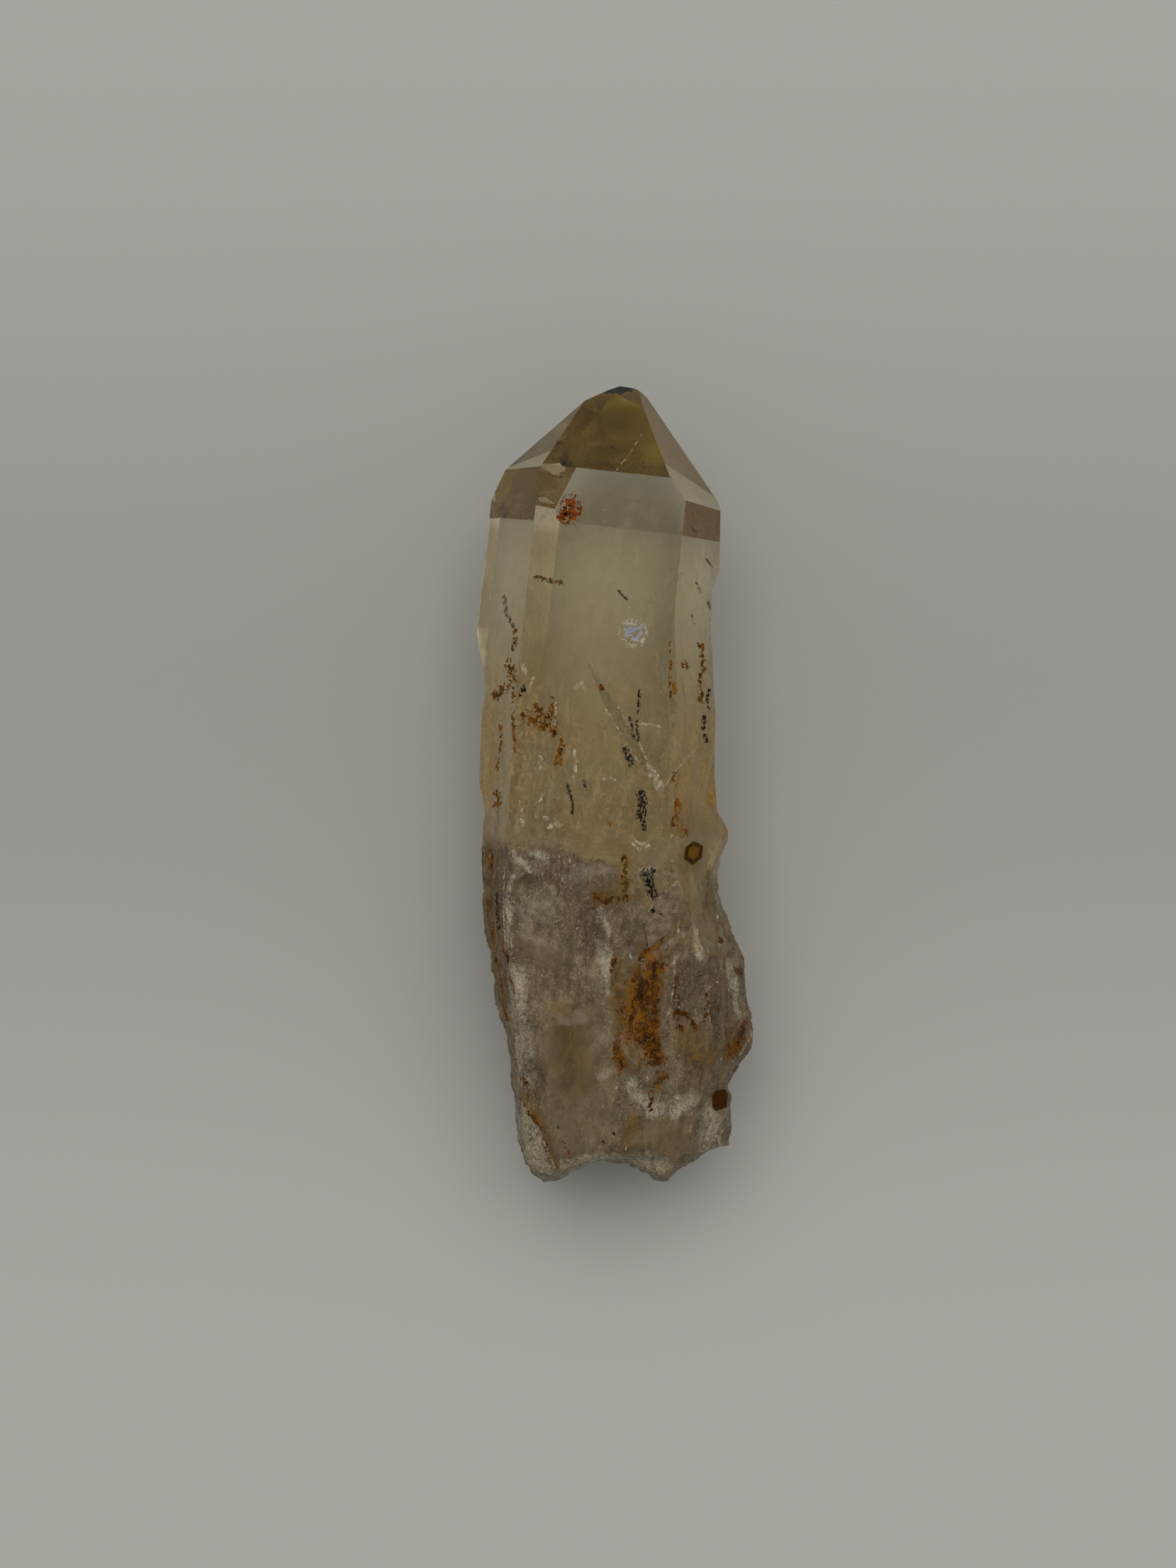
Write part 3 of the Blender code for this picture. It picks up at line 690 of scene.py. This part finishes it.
# The front of the milk.
# The wall of cloud where clear quartz grew on over the milk. It shows lengthways through
# the end faces, as their dark gold; a wavy sheet across the crystal, cut off at its skin.
FRONT_MIDDLE = (1.5, -8.5, 10.6)
FRONT_WIDTH = 32.0
FRONT_HEIGHT = 22.0
FRONT_SLANT = 9.0
FRONT_WAVES = 1.6
FRONT_MARGIN = 0.0009
front_mesh = bmesh.new()
upright = Matrix.Rotation(math.radians(90.0), 4, "X")
flat = Matrix.Translation(FRONT_MIDDLE) @ upright @ Matrix.Diagonal((FRONT_WIDTH, FRONT_HEIGHT, 1.0, 1.0))
bmesh.ops.create_grid(front_mesh, x_segments=48, y_segments=32, size=0.5, matrix=flat)
for vert in front_mesh.verts:
    across, along, up = vert.co
    waves = noise.fractal(Vector((across * 0.25, 2.0, up * 0.25)), 0.8, 2.0, 3) * FRONT_WAVES
    vert.co = grown(across, along + waves - ease(across, 3.0, 12.0) * FRONT_SLANT, up)
outside = []
for face in front_mesh.faces:
    centre = face.calc_center_median()
    near, normal, _, _ = skin_tree.find_nearest(centre)
    if (centre - near).dot(normal) > -FRONT_MARGIN:
        outside.append(face)
bmesh.ops.delete(front_mesh, geom=outside, context="FACES")
bmesh.ops.recalc_face_normals(front_mesh, faces=front_mesh.faces[:])
for face in front_mesh.faces:
    face.smooth = True
milk_front = as_object("milk_front", front_mesh)
cloudy, tree, shader = new_material("milk front")
where = crystal_directions(tree)
across, _, up = parts_of(tree, where)
soft_clouds = clouds(tree, where, 0.2, 2.0, 0.5)
paler = up.between(10.5, 14.0).most(across.between(1.8, 4.0) * up.between(3.8, 5.4))
paler = paler * (1.0 - up.between(16.5, 18.0)) * (1.0 - across.between(6.5, 8.0)) * across.between(-8.5, -7.0)
colour = blend_colours(tree, soft_clouds, (0.56, 0.505, 0.250, 1.0), (0.68, 0.625, 0.34, 1.0))
colour = blend_colours(tree, paler, colour, (0.86, 0.85, 0.33, 1.0))
Value.plug(shader, {"Base Color": colour, "Roughness": 1.0, "Specular IOR Level": 0.0})
milk_front.data.materials.append(cloudy)
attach(milk_front, "root")


# The rust films.
# Thin red-brown films of iron oxide that dried in cracks and on the top faces, lacy and
# ragged, with a bright orange-red one near the tip.
def top_at(across, along):
    """How high the crystal's skin is above the floor at a place, in millimetres."""
    hit = skin_tree.ray_cast(grown(across, along, 40.0), Vector((0.0, 0.0, -1.0)))[0]
    return hit.z * 1000.0 if hit else 10.0


def lace(mesh, marks, cell, ragged, grain, seed):
    """Adds holed films along strokes: (depth, or less than 0 on the skin, width, place, ...)."""
    for deep, wide, *line in marks:
        low_a, high_a = min(p[0] for p in line) - wide, max(p[0] for p in line) + wide
        low_c, high_c = min(p[1] for p in line) - wide, max(p[1] for p in line) + wide
        size = Matrix.Diagonal((high_a - low_a, high_c - low_c, 1.0, 1.0))
        spot = Matrix.Translation(((low_a + high_a) / 2.0, (low_c + high_c) / 2.0, 0.0))
        made = bmesh.ops.create_grid(
            mesh, x_segments=max(2, round((high_a - low_a) / cell)),
            y_segments=max(2, round((high_c - low_c) / cell)), size=0.5, matrix=spot @ size,
        )["verts"]
        faces = {face for vert in made for face in vert.link_faces}
        gone = []
        for face in faces:
            centre = face.calc_center_median()
            key = Vector((centre.x * grain[0], centre.y * grain[1], seed + deep))
            torn = noise.fractal(key, 0.6, 2.1, 4) * ragged
            inside = reach(centre.x, centre.y, ((wide, *line),))
            if inside < 0.0 or inside * 0.8 + torn < 0.25:
                gone.append(face)
        bmesh.ops.delete(mesh, geom=gone, context="FACES")
        for vert in made:
            if vert.is_valid:
                shake = noise.noise_vector(Vector((vert.co.x * 3.0, vert.co.y * 3.0, seed))) * cell * 0.6
                across, along = vert.co.x + shake.x, vert.co.y + shake.y
                lift = noise.noise(Vector((across * 0.6, along * 0.6, seed + 5.0))) * 0.3
                down = max(deep + lift, 0.12) if deep > 0.0 else deep
                vert.co = (across, along, top_at(across, along) - down)
    loose = [vert for vert in mesh.verts if not vert.link_faces]
    bmesh.ops.delete(mesh, geom=loose, context="VERTS")


def finished(name, mesh):
    """Turns a mesh in the crystal's own directions into a piece."""
    for vert in mesh.verts:
        vert.co = grown(*vert.co)
    bmesh.ops.triangulate(mesh, faces=mesh.faces[:])
    made = as_object(name, mesh)
    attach(made, "root")
    return made


def dull_material(name, first, second, scale, roughness=0.7, thin=False):
    """A dry film that goes from one colour to another in flecks, and lets light through if thin."""
    stuff, tree, shader = new_material(name)
    flecks = clouds(tree, crystal_directions(tree), scale, 4.0, 0.6).between(0.38, 0.62)
    Value.plug(shader, {
        "Base Color": blend_colours(tree, flecks, (*first, 1.0), (*second, 1.0)),
        "Roughness": roughness, "Specular IOR Level": 0.1,
    })
    if thin:
        Value.plug(shader, {"Alpha": 0.72 - flecks * 0.42})
    return stuff


red_mesh = bmesh.new()
lace(red_mesh, (
    (-0.02, 2.4, (-5.5, 31.4), (-5.1, 30.7), (-5.4, 30.0)),
    (-0.02, 1.4, (-6.0, 30.4), (-6.2, 29.6)),
    (-0.04, 1.5, (-5.4, 31.3), (-5.1, 30.7)),
), 0.12, 1.0, (2.2, 2.2), 4.0)
red = finished("red_stain", red_mesh)
red.data.materials.append(dull_material("red stain", (0.31, 0.066, 0.004), (0.080, 0.015, 0.002), 2.2))

brown_mesh = bmesh.new()
lace(brown_mesh, (
    (-0.03, 1.2, (-10.5, 12.7), (-10.0, 11.8), (-9.8, 11.0)),
    (-0.03, 1.4, (-11.6, 9.1), (-10.6, 9.9)),
    (-0.03, 1.0, (-10.3, -2.3), (-10.0, -3.0), (-10.2, -4.0)),
    (-0.03, 0.6, (-10.3, 16.7), (-9.9, 15.2), (-10.3, 14.3)),
    (0.9, 0.5, (-11.7, 20.3), (-11.2, 18.3), (-10.3, 17.0)),
    (-0.03, 1.7, (-7.6, 6.9), (-6.3, 6.2), (-5.0, 6.5)),
    (-0.03, 1.0, (-6.8, 8.0), (-5.6, 7.0), (-4.5, 5.6)),
    (-0.03, 0.6, (-5.2, 9.2), (-5.0, 7.2), (-4.5, 5.0)),
    (0.5, 0.34, (10.5, 27.4), (11.3, 26.6)),
    (0.5, 0.34, (9.7, 24.4), (10.4, 23.3)),
    (0.5, 0.34, (11.2, 22.6), (11.8, 21.6)),
    (0.5, 0.34, (9.5, 20.6), (10.1, 19.4)),
    (-0.03, 0.40, (-10.8, 6.0), (-10.4, 3.0), (-10.6, 0.5)),
    (-0.03, 1.0, (-3.5, 4.4), (-3.5, 3.2), (-3.6, 2.0)),
    (-0.03, 0.6, (0.1, 11.2), (0.4, 11.0)),
    (-0.03, 0.6, (9.1, 14.4), (9.4, 15.0), (9.9, 14.4)),
    (-0.03, 0.5, (8.5, 12.4), (8.6, 11.1)),
    (-0.03, 0.36, (7.5, 17.0), (7.8, 15.0), (7.9, 12.8), (8.3, 10.8)),
    (-0.03, 0.8, (11.1, 17.5), (11.7, 15.5), (11.6, 13.0), (11.8, 10.5)),
    (-0.03, 0.4, (-9.6, 9.9), (-9.3, 6.7), (-8.7, 2.8)),
    (-0.03, 0.5, (2.7, -4.1), (3.0, -4.3)),
    (-0.03, 0.5, (9.6, 2.4), (9.4, 1.2)),
    (-0.03, 0.7, (10.4, -0.8), (10.3, -2.4), (10.2, -3.6)),
    (-0.03, 0.5, (10.9, -3.6), (11.6, -4.1), (11.8, -4.8)),
    (1.0, 0.7, (-8.4, 22.6), (-5.4, 22.4)),
    (0.6, 0.5, (8.6, 30.2), (9.1, 30.0)),
), 0.12, 2.6, (2.4, 1.6), 8.0)
brown = finished("brown_stain", brown_mesh)
brown.data.materials.append(dull_material("brown stain", (0.27, 0.105, 0.007), (0.070, 0.022, 0.002), 1.6))

dark_mesh = bmesh.new()
lace(dark_mesh, (
    (-0.03, 0.8, (5.0, -7.9), (5.2, -9.8), (5.5, -11.4)),
    (-0.03, 0.9, (2.3, -12.5), (3.7, -13.0), (5.6, -12.4)),
    (-0.03, 0.7, (12.3, -20.6), (12.7, -23.0), (12.9, -25.6)),
    (-0.03, 0.7, (13.0, -24.4), (14.2, -25.0), (15.4, -26.4)),
    (-0.03, 0.6, (13.0, -26.2), (14.0, -26.6)),
    (-0.03, 0.6, (16.1, -22.0), (16.4, -24.5), (16.1, -25.6)),
    (-0.03, 0.5, (10.9, -34.2), (11.5, -33.0), (12.6, -32.0)),
    (-0.03, 0.5, (11.0, -34.0), (11.2, -36.6)),
    (-0.03, 0.5, (-3.9, -37.0), (-2.2, -38.6), (-1.0, -39.8)),
    (-0.03, 0.4, (-0.6, -41.0), (0.4, -43.4)),
    (-0.03, 0.6, (19.7, -19.4), (20.2, -19.9)),
    (-0.03, 0.6, (6.6, -29.8), (7.4, -31.4)),
    (-0.03, 0.9, (10.1, -21.5), (10.5, -26.0), (10.9, -28.4)),
    (-0.03, 1.9, (9.0, -27.4), (10.2, -28.6), (11.0, -30.2)),
    (-0.03, 0.7, (9.3, -16.2), (8.2, -19.0), (7.7, -21.6)),
    (-0.03, 0.5, (17.0, -16.1), (17.4, -16.5)),
    (-0.03, 0.6, (-3.7, -34.5), (-3.4, -34.9)),
), 0.12, 2.3, (2.4, 1.6), 27.0)
seams = finished("brown_seams", dark_mesh)
seams.data.materials.append(dull_material("brown seams", (0.17, 0.060, 0.004), (0.050, 0.018, 0.002), 1.6))


# The black seams.
# Rows of tiny black mineral grains that lie along the crystal, made as lacy films at or
# just under its top face.
black_mesh = bmesh.new()
lace(black_mesh, (
    (-0.04, 0.40, (4.6, 11.1), (4.7, 10.2), (4.8, 8.6)),
    (-0.04, 0.38, (3.9, 8.0), (4.3, 6.6), (4.6, 5.8)),
    (-0.04, 0.40, (4.8, 7.9), (4.8, 6.7), (5.1, 5.6)),
    (-0.04, 0.8, (3.8, 4.4), (4.1, 3.7), (4.7, 2.7)),
    (-0.04, 0.45, (12.7, 12.4), (12.6, 11.2), (12.9, 10.2)),
    (-0.04, 0.55, (12.5, 9.1), (12.5, 7.9)),
    (-0.04, 0.50, (12.8, 7.0), (13.0, 6.4)),
    (-0.04, 0.36, (-1.8, -1.3), (-1.5, -2.5), (-1.4, -3.5)),
    (-0.04, 0.45, (-2.3, -0.3), (-2.0, -1.2)),
    (-0.04, 0.4, (-0.5, 0.3), (-0.3, -0.3)),
    (-0.04, 1.2, (6.1, -0.4), (6.4, -1.6), (6.3, -2.9)),
    (-0.04, 0.6, (6.3, -2.9), (6.7, -3.6), (6.9, -4.3)),
    (-0.04, 0.7, (8.4, -8.9), (8.2, -10.3), (8.5, -11.7)),
    (-0.04, 1.2, (7.6, -9.4), (8.2, -10.7), (8.8, -11.8)),
    (-0.20, 0.5, (8.8, -13.5), (9.9, -14.0)),
    (-0.04, 0.5, (-9.0, -13.7), (-8.8, -15.4), (-8.3, -17.4)),
    (0.4, 0.3, (1.0, 22.2), (1.5, 21.7), (2.1, 21.3)),
    (-0.04, 0.45, (-8.7, 9.2), (-8.5, 10.2), (-8.3, 9.7)),
), 0.085, 2.0, (4.0, 2.6), 12.0)
black = finished("black_seams", black_mesh)
black.data.materials.append(dull_material("black grains", (0.010, 0.009, 0.008), (0.028, 0.024, 0.020), 2.0))


# The cracks.
# Healed breaks inside the crystal: a long blade that runs down to a point, an arc near
# the right shoulder, and fine ones at the sides, each a thin bright sheet.
def crack(mesh, rim, deep, drop, lean, *line):
    """Adds a sheet that hangs from a line under the top face and leans to one side."""
    made = bmesh.ops.create_grid(mesh, x_segments=16, y_segments=6, size=0.5)["verts"]
    joints = [Vector(point) for point in line]
    lengths = [(b - a).length for a, b in zip(joints, joints[1:])]
    for vert in made:
        share, down = vert.co.x + 0.5, vert.co.y + 0.5
        left = share * sum(lengths)
        for number, length in enumerate(lengths):
            if left <= length or number == len(lengths) - 1:
                spot = joints[number].lerp(joints[number + 1], min(left / length, 1.0))
                break
            left -= length
        taper = math.sin(math.pi * (0.08 + 0.84 * share))
        bend = noise.noise(Vector((spot.x * 0.7, spot.y * 0.7, deep))) * 0.25
        vert[rim] = 1.0 if abs(down - 0.5) > 0.45 else 0.0
        across = spot.x + down * lean * taper + bend
        vert.co = (across, spot.y + bend, top_at(spot.x, spot.y) - deep - down * drop * taper)


crack_mesh = bmesh.new()
rim_layer = crack_mesh.verts.layers.float.new("rim")
for sheet in (
    (0.7, 1.2, 0.6, (-1.6, 13.8), (0.0, 10.8), (1.0, 9.0)),
    (0.7, 1.0, 0.4, (1.0, 9.2), (3.6, 5.7), (6.4, 1.9), (8.0, 0.4)),
    (0.5, 0.8, 0.3, (2.6, 9.0), (4.9, 5.6), (6.8, 2.6), (8.2, 0.5)),
    (0.7, 1.2, 0.8, (4.4, 4.2), (6.3, 1.9), (8.4, 0.1)),
    (0.7, 1.0, -0.5, (8.4, 0.1), (9.6, 2.4), (11.0, 4.4), (12.6, 6.0)),
    (0.6, 1.2, 0.5, (7.8, 25.1), (6.0, 23.7), (5.1, 21.9), (4.4, 21.0)),
    (0.7, 0.8, 0.3, (4.8, 20.3), (5.3, 17.5), (7.0, 12.9), (8.2, 8.3)),
    (0.5, 0.9, 0.6, (11.8, 23.4), (11.6, 21.0), (11.8, 18.2)),
    (0.7, 0.4, 0.2, (5.0, 7.3), (6.3, 7.5), (7.8, 7.3)),
    (0.6, 0.8, 0.5, (-11.7, 20.2), (-12.0, 16.9), (-12.6, 13.0)),
    (0.6, 0.9, 0.6, (-11.2, 18.2), (-9.9, 15.2), (-9.1, 10.8)),
    (0.8, 0.8, 0.4, (-3.1, 2.6), (-2.5, 0.6), (-1.8, -1.3)),
    (0.8, 0.7, 0.3, (-9.4, 12.0), (-9.2, 6.0), (-8.8, 0.0)),
    (0.6, 0.7, 0.5, (9.0, 27.0), (9.6, 24.0), (9.4, 21.0)),
    (0.6, 0.7, 0.4, (11.0, 27.5), (11.5, 25.0), (10.8, 22.5)),
    (0.9, 0.7, 0.4, (-7.5, 4.5), (-6.9, 1.0), (-7.1, -2.5)),
):
    crack(crack_mesh, rim_layer, *sheet)
cracks = finished("healed_cracks", crack_mesh)
bright, tree, shader = new_material("healed crack")
patchy = clouds(tree, crystal_directions(tree), 0.9, 4.0, 0.6).between(0.35, 0.7)
edge_glow = from_mesh(tree, "rim").between(0.3, 1.0)
Value.plug(shader, {
    "Base Color": (0.82, 0.77, 0.62, 1.0), "Roughness": 0.35,
    "Alpha": (patchy * 0.34 + edge_glow * 0.60 + 0.14).least(1.0),
})
cracks.data.materials.append(bright)


# The streaks.
# Hair-thin threads of bubbles and rust that grew along the crystal, pale in the middle
# and golden brown near its sides.
STREAKS = 330
streak_mesh = bmesh.new()
dice = random.Random(17)
for _ in range(STREAKS):
    across, along = dice.uniform(-13.0, 14.0), dice.uniform(-9.0, 17.0)
    if top_at(across, along) < 15.0 or along > 6.0 + 11.0 * dice.random():
        continue
    long_side, wide = dice.uniform(0.5, 2.6), dice.uniform(0.05, 0.16)
    sway, deep = dice.uniform(-0.25, 0.25), dice.uniform(0.4, 3.5)
    made = bmesh.ops.create_grid(streak_mesh, x_segments=1, y_segments=5, size=1.0)["verts"]
    for vert in made:
        side, step = vert.co.x, vert.co.y
        off_a = side * wide * (1.0 - step * step * 0.8) + sway * step * step * long_side * 0.4
        off_c = step * long_side
        vert.co = (across + off_a, along + off_c, top_at(across, along) - deep + side * wide)
streaks_made = finished("growth_streaks", streak_mesh)
thread, tree, shader = new_material("growth streaks")
where = crystal_directions(tree)
across, _, _ = parts_of(tree, where)
golden = abs(across - 1.5).between(5.0, 10.0).most(clouds(tree, where, 0.5).between(0.5, 0.6))
Value.plug(shader, {
    "Base Color": blend_colours(tree, golden, (0.84, 0.77, 0.58, 1.0), (0.52, 0.32, 0.12, 1.0)),
    "Alpha": clouds(tree, where, 0.8, 4.0).between(0.35, 0.65) * 0.42,
    "Roughness": 0.8, "Specular IOR Level": 0.1,
})
streaks_made.data.materials.append(thread)


# The white flakes.
# Small frosty plates and chips: some lie in the milk under the skin of the root, a few
# near the top face, and a thin bright scratch crosses the front end face.
FLAKES = 520
flake_mesh = bmesh.new()
lace(flake_mesh, (
    (0.5, 0.6, (-8.3, 31.4), (-7.9, 31.2)),
    (0.5, 0.6, (-8.6, 29.2), (-8.3, 29.7)),
    (0.6, 0.4, (-1.5, 31.2), (-1.2, 31.7)),
    (0.6, 0.4, (-1.9, 30.0), (-1.5, 29.8)),
    (-0.04, 0.6, (-5.5, -3.8), (-5.4, -4.3)),
    (-0.04, 0.6, (-4.5, -4.1), (-4.2, -4.4)),
    (-0.04, 0.6, (-7.1, -3.8), (-7.1, -4.6), (-6.7, -5.4)),
    (-0.04, 0.8, (-3.7, -5.3), (-3.1, -4.7), (-2.5, -5.1)),
    (-0.04, 0.34, (5.6, -6.0), (6.6, -6.8), (7.7, -6.1)),
    (-0.04, 0.26, (5.9, -5.7), (6.8, -6.2), (7.5, -5.6)),
    (-0.04, 0.6, (-5.7, 2.4), (-5.6, 1.3)),
    (-0.02, 0.13, (1.8, 40.7), (0.7, 38.2), (-0.9, 35.3)),
    (-0.04, 0.20, (2.4, 9.0), (4.9, 5.8), (6.7, 2.8)),
    (-0.04, 0.30, (6.5, 2.9), (7.3, 1.8), (8.3, 0.3)),
    (-0.04, 0.18, (0.9, 8.9), (3.5, 5.6), (5.8, 2.6)),
    (-0.04, 0.18, (8.4, 0.1), (9.6, 2.4), (11.0, 4.4), (12.6, 6.0)),
    (0.5, 0.20, (5.4, 17.6), (6.6, 13.0), (8.2, 8.3)),
    (0.6, 0.20, (7.8, 25.0), (6.0, 23.7), (5.1, 21.9), (4.4, 21.0)),
    (0.6, 0.22, (-1.6, 13.8), (0.0, 11.0), (1.0, 9.2)),
    (-0.04, 0.30, (5.0, 7.4), (6.3, 7.5), (7.8, 7.3)),
    (-0.04, 0.18, (-4.1, -37.7), (-2.6, -39.0), (-1.4, -39.7), (-0.1, -42.1), (1.3, -44.6)),
    (-0.04, 0.40, (3.7, -43.9), (5.7, -43.6), (8.0, -43.2), (10.6, -43.0)),
    (-0.04, 0.28, (22.0, -26.4), (22.2, -27.2), (21.4, -28.5), (20.2, -30.2)),
    (-0.04, 0.24, (8.0, -14.5), (9.0, -12.6), (11.3, -9.9), (12.2, -11.5)),
    (-0.04, 0.22, (-6.5, -13.3), (-5.6, -13.7), (-2.8, -11.9), (-2.0, -12.1)),
    (-0.04, 0.30, (11.9, -18.5), (12.2, -21.5), (12.0, -25.0)),
    (-0.04, 0.20, (-8.4, -10.0), (-8.0, -15.0), (-7.2, -20.0)),
    (-0.04, 0.5, (-2.6, 10.7), (-1.9, 11.3), (-1.4, 10.5)),
    (-0.04, 0.45, (1.8, 0.8), (3.0, 0.9)),
    (-0.04, 0.40, (-5.0, -1.5), (-5.2, -2.6)),
    (-0.04, 0.40, (-2.0, 3.8), (-1.6, 1.6), (-1.7, 0.2)),
    (-0.04, 0.35, (-8.0, 9.6), (-7.4, 11.4)),
    (-0.04, 0.30, (-4.6, 8.8), (-4.4, 6.2)),
    (-0.04, 0.6, (-8.9, 12.6), (-8.4, 11.7)),
    (-0.04, 0.7, (7.0, 1.8), (7.7, 1.3)),
    (-0.05, 1.1, (6.9, 2.3), (7.7, 1.2), (8.2, 0.5)),
), 0.11, 1.2, (1.6, 1.6), 21.0)
dice = random.Random(41)
for _ in range(FLAKES):
    across, along = dice.uniform(-11.0, 21.0), dice.uniform(-44.0, 10.0)
    if along > -7.0 and dice.random() < 0.6:
        continue
    hit, normal, _, _ = skin_tree.ray_cast(grown(across, along, 40.0), Vector((0.0, 0.0, -1.0)))
    if hit is None or normal.z < 0.3:
        continue
    in_window = reach(across, along, CLEAR_IN_SKIN) > 0.0 and dice.random() < 0.8
    if in_window or reach(across, along, RUST_ON_SKIN) > -0.2:
        continue
    size = 0.05 + 0.18 * dice.random() ** 2
    deep = dice.uniform(-0.05, 0.12) if along < -7.0 else dice.uniform(0.4, 2.5)
    made = bmesh.ops.create_circle(
        flake_mesh, cap_ends=True, segments=dice.choice((3, 4, 5, 6)), radius=size,
        matrix=Matrix.Translation((across, along, hit.z * 1000.0 - deep)),
    )["verts"]
    tilt = Vector((dice.uniform(-0.5, 0.5), dice.uniform(-0.5, 0.5)))
    long_side = dice.uniform(1.0, 3.2)
    for vert in made:
        off_a, off_c = vert.co.x - across, vert.co.y - along
        off_a += dice.uniform(-0.35, 0.35) * size
        off_c = off_c * long_side + dice.uniform(-0.35, 0.35) * size
        vert.co.x, vert.co.y = across + off_a, along + off_c
        vert.co.z += off_a * tilt.x + off_c * tilt.y
flakes = finished("white_flakes", flake_mesh)
frosted = dull_material("white flakes", (0.72, 0.63, 0.46), (0.42, 0.33, 0.21), 1.2, 0.5, thin=True)
flakes.data.materials.append(frosted)


# The pale plates.
# Flat bits of older crystals that show in the skin of the root, as slabs with straight
# broken edges, one cream and one pink; a dark square of iron ore; a small golden
# six-sided crystal with a dark rim at the right shoulder; and the smoky blade inside.
PLATE_THICK = 0.16
PLATE_SUNK = 0.05


def plate(name, colour, solid, deep, corners):
    """A thin slab on the skin, its corners given across and along."""
    mesh = bmesh.new()
    made = bmesh.ops.create_circle(mesh, cap_ends=True, segments=len(corners), radius=1.0)["verts"]
    for vert, (across, along) in zip(made, corners):
        vert.co = (across, along, top_at(across, along) - PLATE_SUNK - deep)
    grown_up = bmesh.ops.extrude_face_region(mesh, geom=mesh.faces[:])["geom"]
    raised = [item for item in grown_up if isinstance(item, bmesh.types.BMVert)]
    bmesh.ops.translate(mesh, verts=raised, vec=(0.0, 0.0, PLATE_THICK))
    bmesh.ops.recalc_face_normals(mesh, faces=mesh.faces[:])
    made = finished(name, mesh)
    stuff, tree, shader = new_material(name.replace("_", " "))
    frosty = clouds(tree, crystal_directions(tree), 1.4, 4.0, 0.65).between(0.35, 0.7)
    darker = tuple(part * 0.55 for part in colour)
    Value.plug(shader, {
        "Base Color": blend_colours(tree, frosty, (*darker, 1.0), (*colour, 1.0)),
        "Alpha": (solid + frosty * 0.2).least(1.0), "Roughness": 0.6, "Specular IOR Level": 0.05,
    })
    made.data.materials.append(stuff)


plate("cream_plate", (0.315, 0.25, 0.165), 0.90, 0.0, (
    (-6.5, -13.3), (-5.6, -13.7), (-2.8, -11.9), (-2.0, -12.1), (-2.3, -13.8), (-1.0, -15.4),
    (-2.6, -16.6), (-4.4, -16.2), (-6.0, -14.4),
))
plate("pink_plate", (0.315, 0.232, 0.147), 0.92, 0.0, (
    (8.0, -14.5), (9.0, -12.6), (11.3, -9.9), (12.2, -11.5), (11.0, -15.7), (8.9, -17.8),
))
plate("dark_spot", (0.085, 0.024, 0.001), 1.0, -0.12, (
    (18.3, -34.3), (18.6, -33.7), (19.8, -33.5), (20.3, -34.4), (20.2, -35.6), (18.9, -36.0), (18.4, -35.4),
))
plate("hexagon_rim", (0.105, 0.048, 0.004), 1.0, 0.0, (
    (12.7, -5.1), (13.9, -5.6), (13.9, -7.0), (12.9, -7.9), (11.8, -7.3), (11.8, -5.9),
))
plate("hexagon_middle", (0.27, 0.130, 0.010), 1.0, -0.16, (
    (12.7, -5.6), (13.5, -6.0), (13.4, -6.8), (12.8, -7.3), (12.2, -7.0), (12.2, -6.1),
))
plate("smoky_blade", (0.50, 0.38, 0.19), 0.22, 0.5, (
    (-1.6, 13.8), (0.6, 11.0), (2.5, 9.0), (4.9, 5.8), (6.7, 2.8), (8.2, 0.4),
    (5.9, 2.3), (3.4, 5.6), (1.0, 8.8),
))


# The rainbow spot.
# A round, ragged gap just under the top face that throws back faint blue, pink and
# yellow, made as a lacy film with rings of colour.
RAINBOW_ACROSS = 3.3
RAINBOW_ALONG = 17.6
spot_mesh = bmesh.new()
lace(spot_mesh, ((0.3, 5.2, (3.3, 17.6), (3.35, 17.5)),), 0.16, 0.5, (1.6, 1.6), 30.0)
rainbow = finished("rainbow_spot", spot_mesh)
shine, tree, shader = new_material("rainbow gap")
where = crystal_directions(tree)
across, along, _ = parts_of(tree, where)
aside, ahead = across - RAINBOW_ACROSS, along - RAINBOW_ALONG
gap = (aside * aside + ahead * ahead) ** 0.5
swirl = clouds(tree, where, 1.3, 3.0, 0.6)
ripples = (gap * 5.0 + swirl * 24.0).math("SINE")
hue = Value.node(tree, "ShaderNodeValToRGB", {"stops": (
    (0.00, (0.55, 0.64, 0.98)), (0.30, (0.72, 0.74, 0.92)), (0.50, (0.88, 0.74, 0.72)),
    (0.70, (0.95, 0.90, 0.70)), (0.95, (0.98, 0.88, 0.58)),
)}, {0: (gap * 0.5 + (swirl - 0.5) * 1.4)})
edge_fade = 1.0 - gap.between(1.3, 2.0)
Value.plug(shader, {
    "Base Color": hue, "Alpha": ripples.between(-0.5, 0.5) * edge_fade, "Roughness": 0.3,
})
rainbow.data.materials.append(shine)
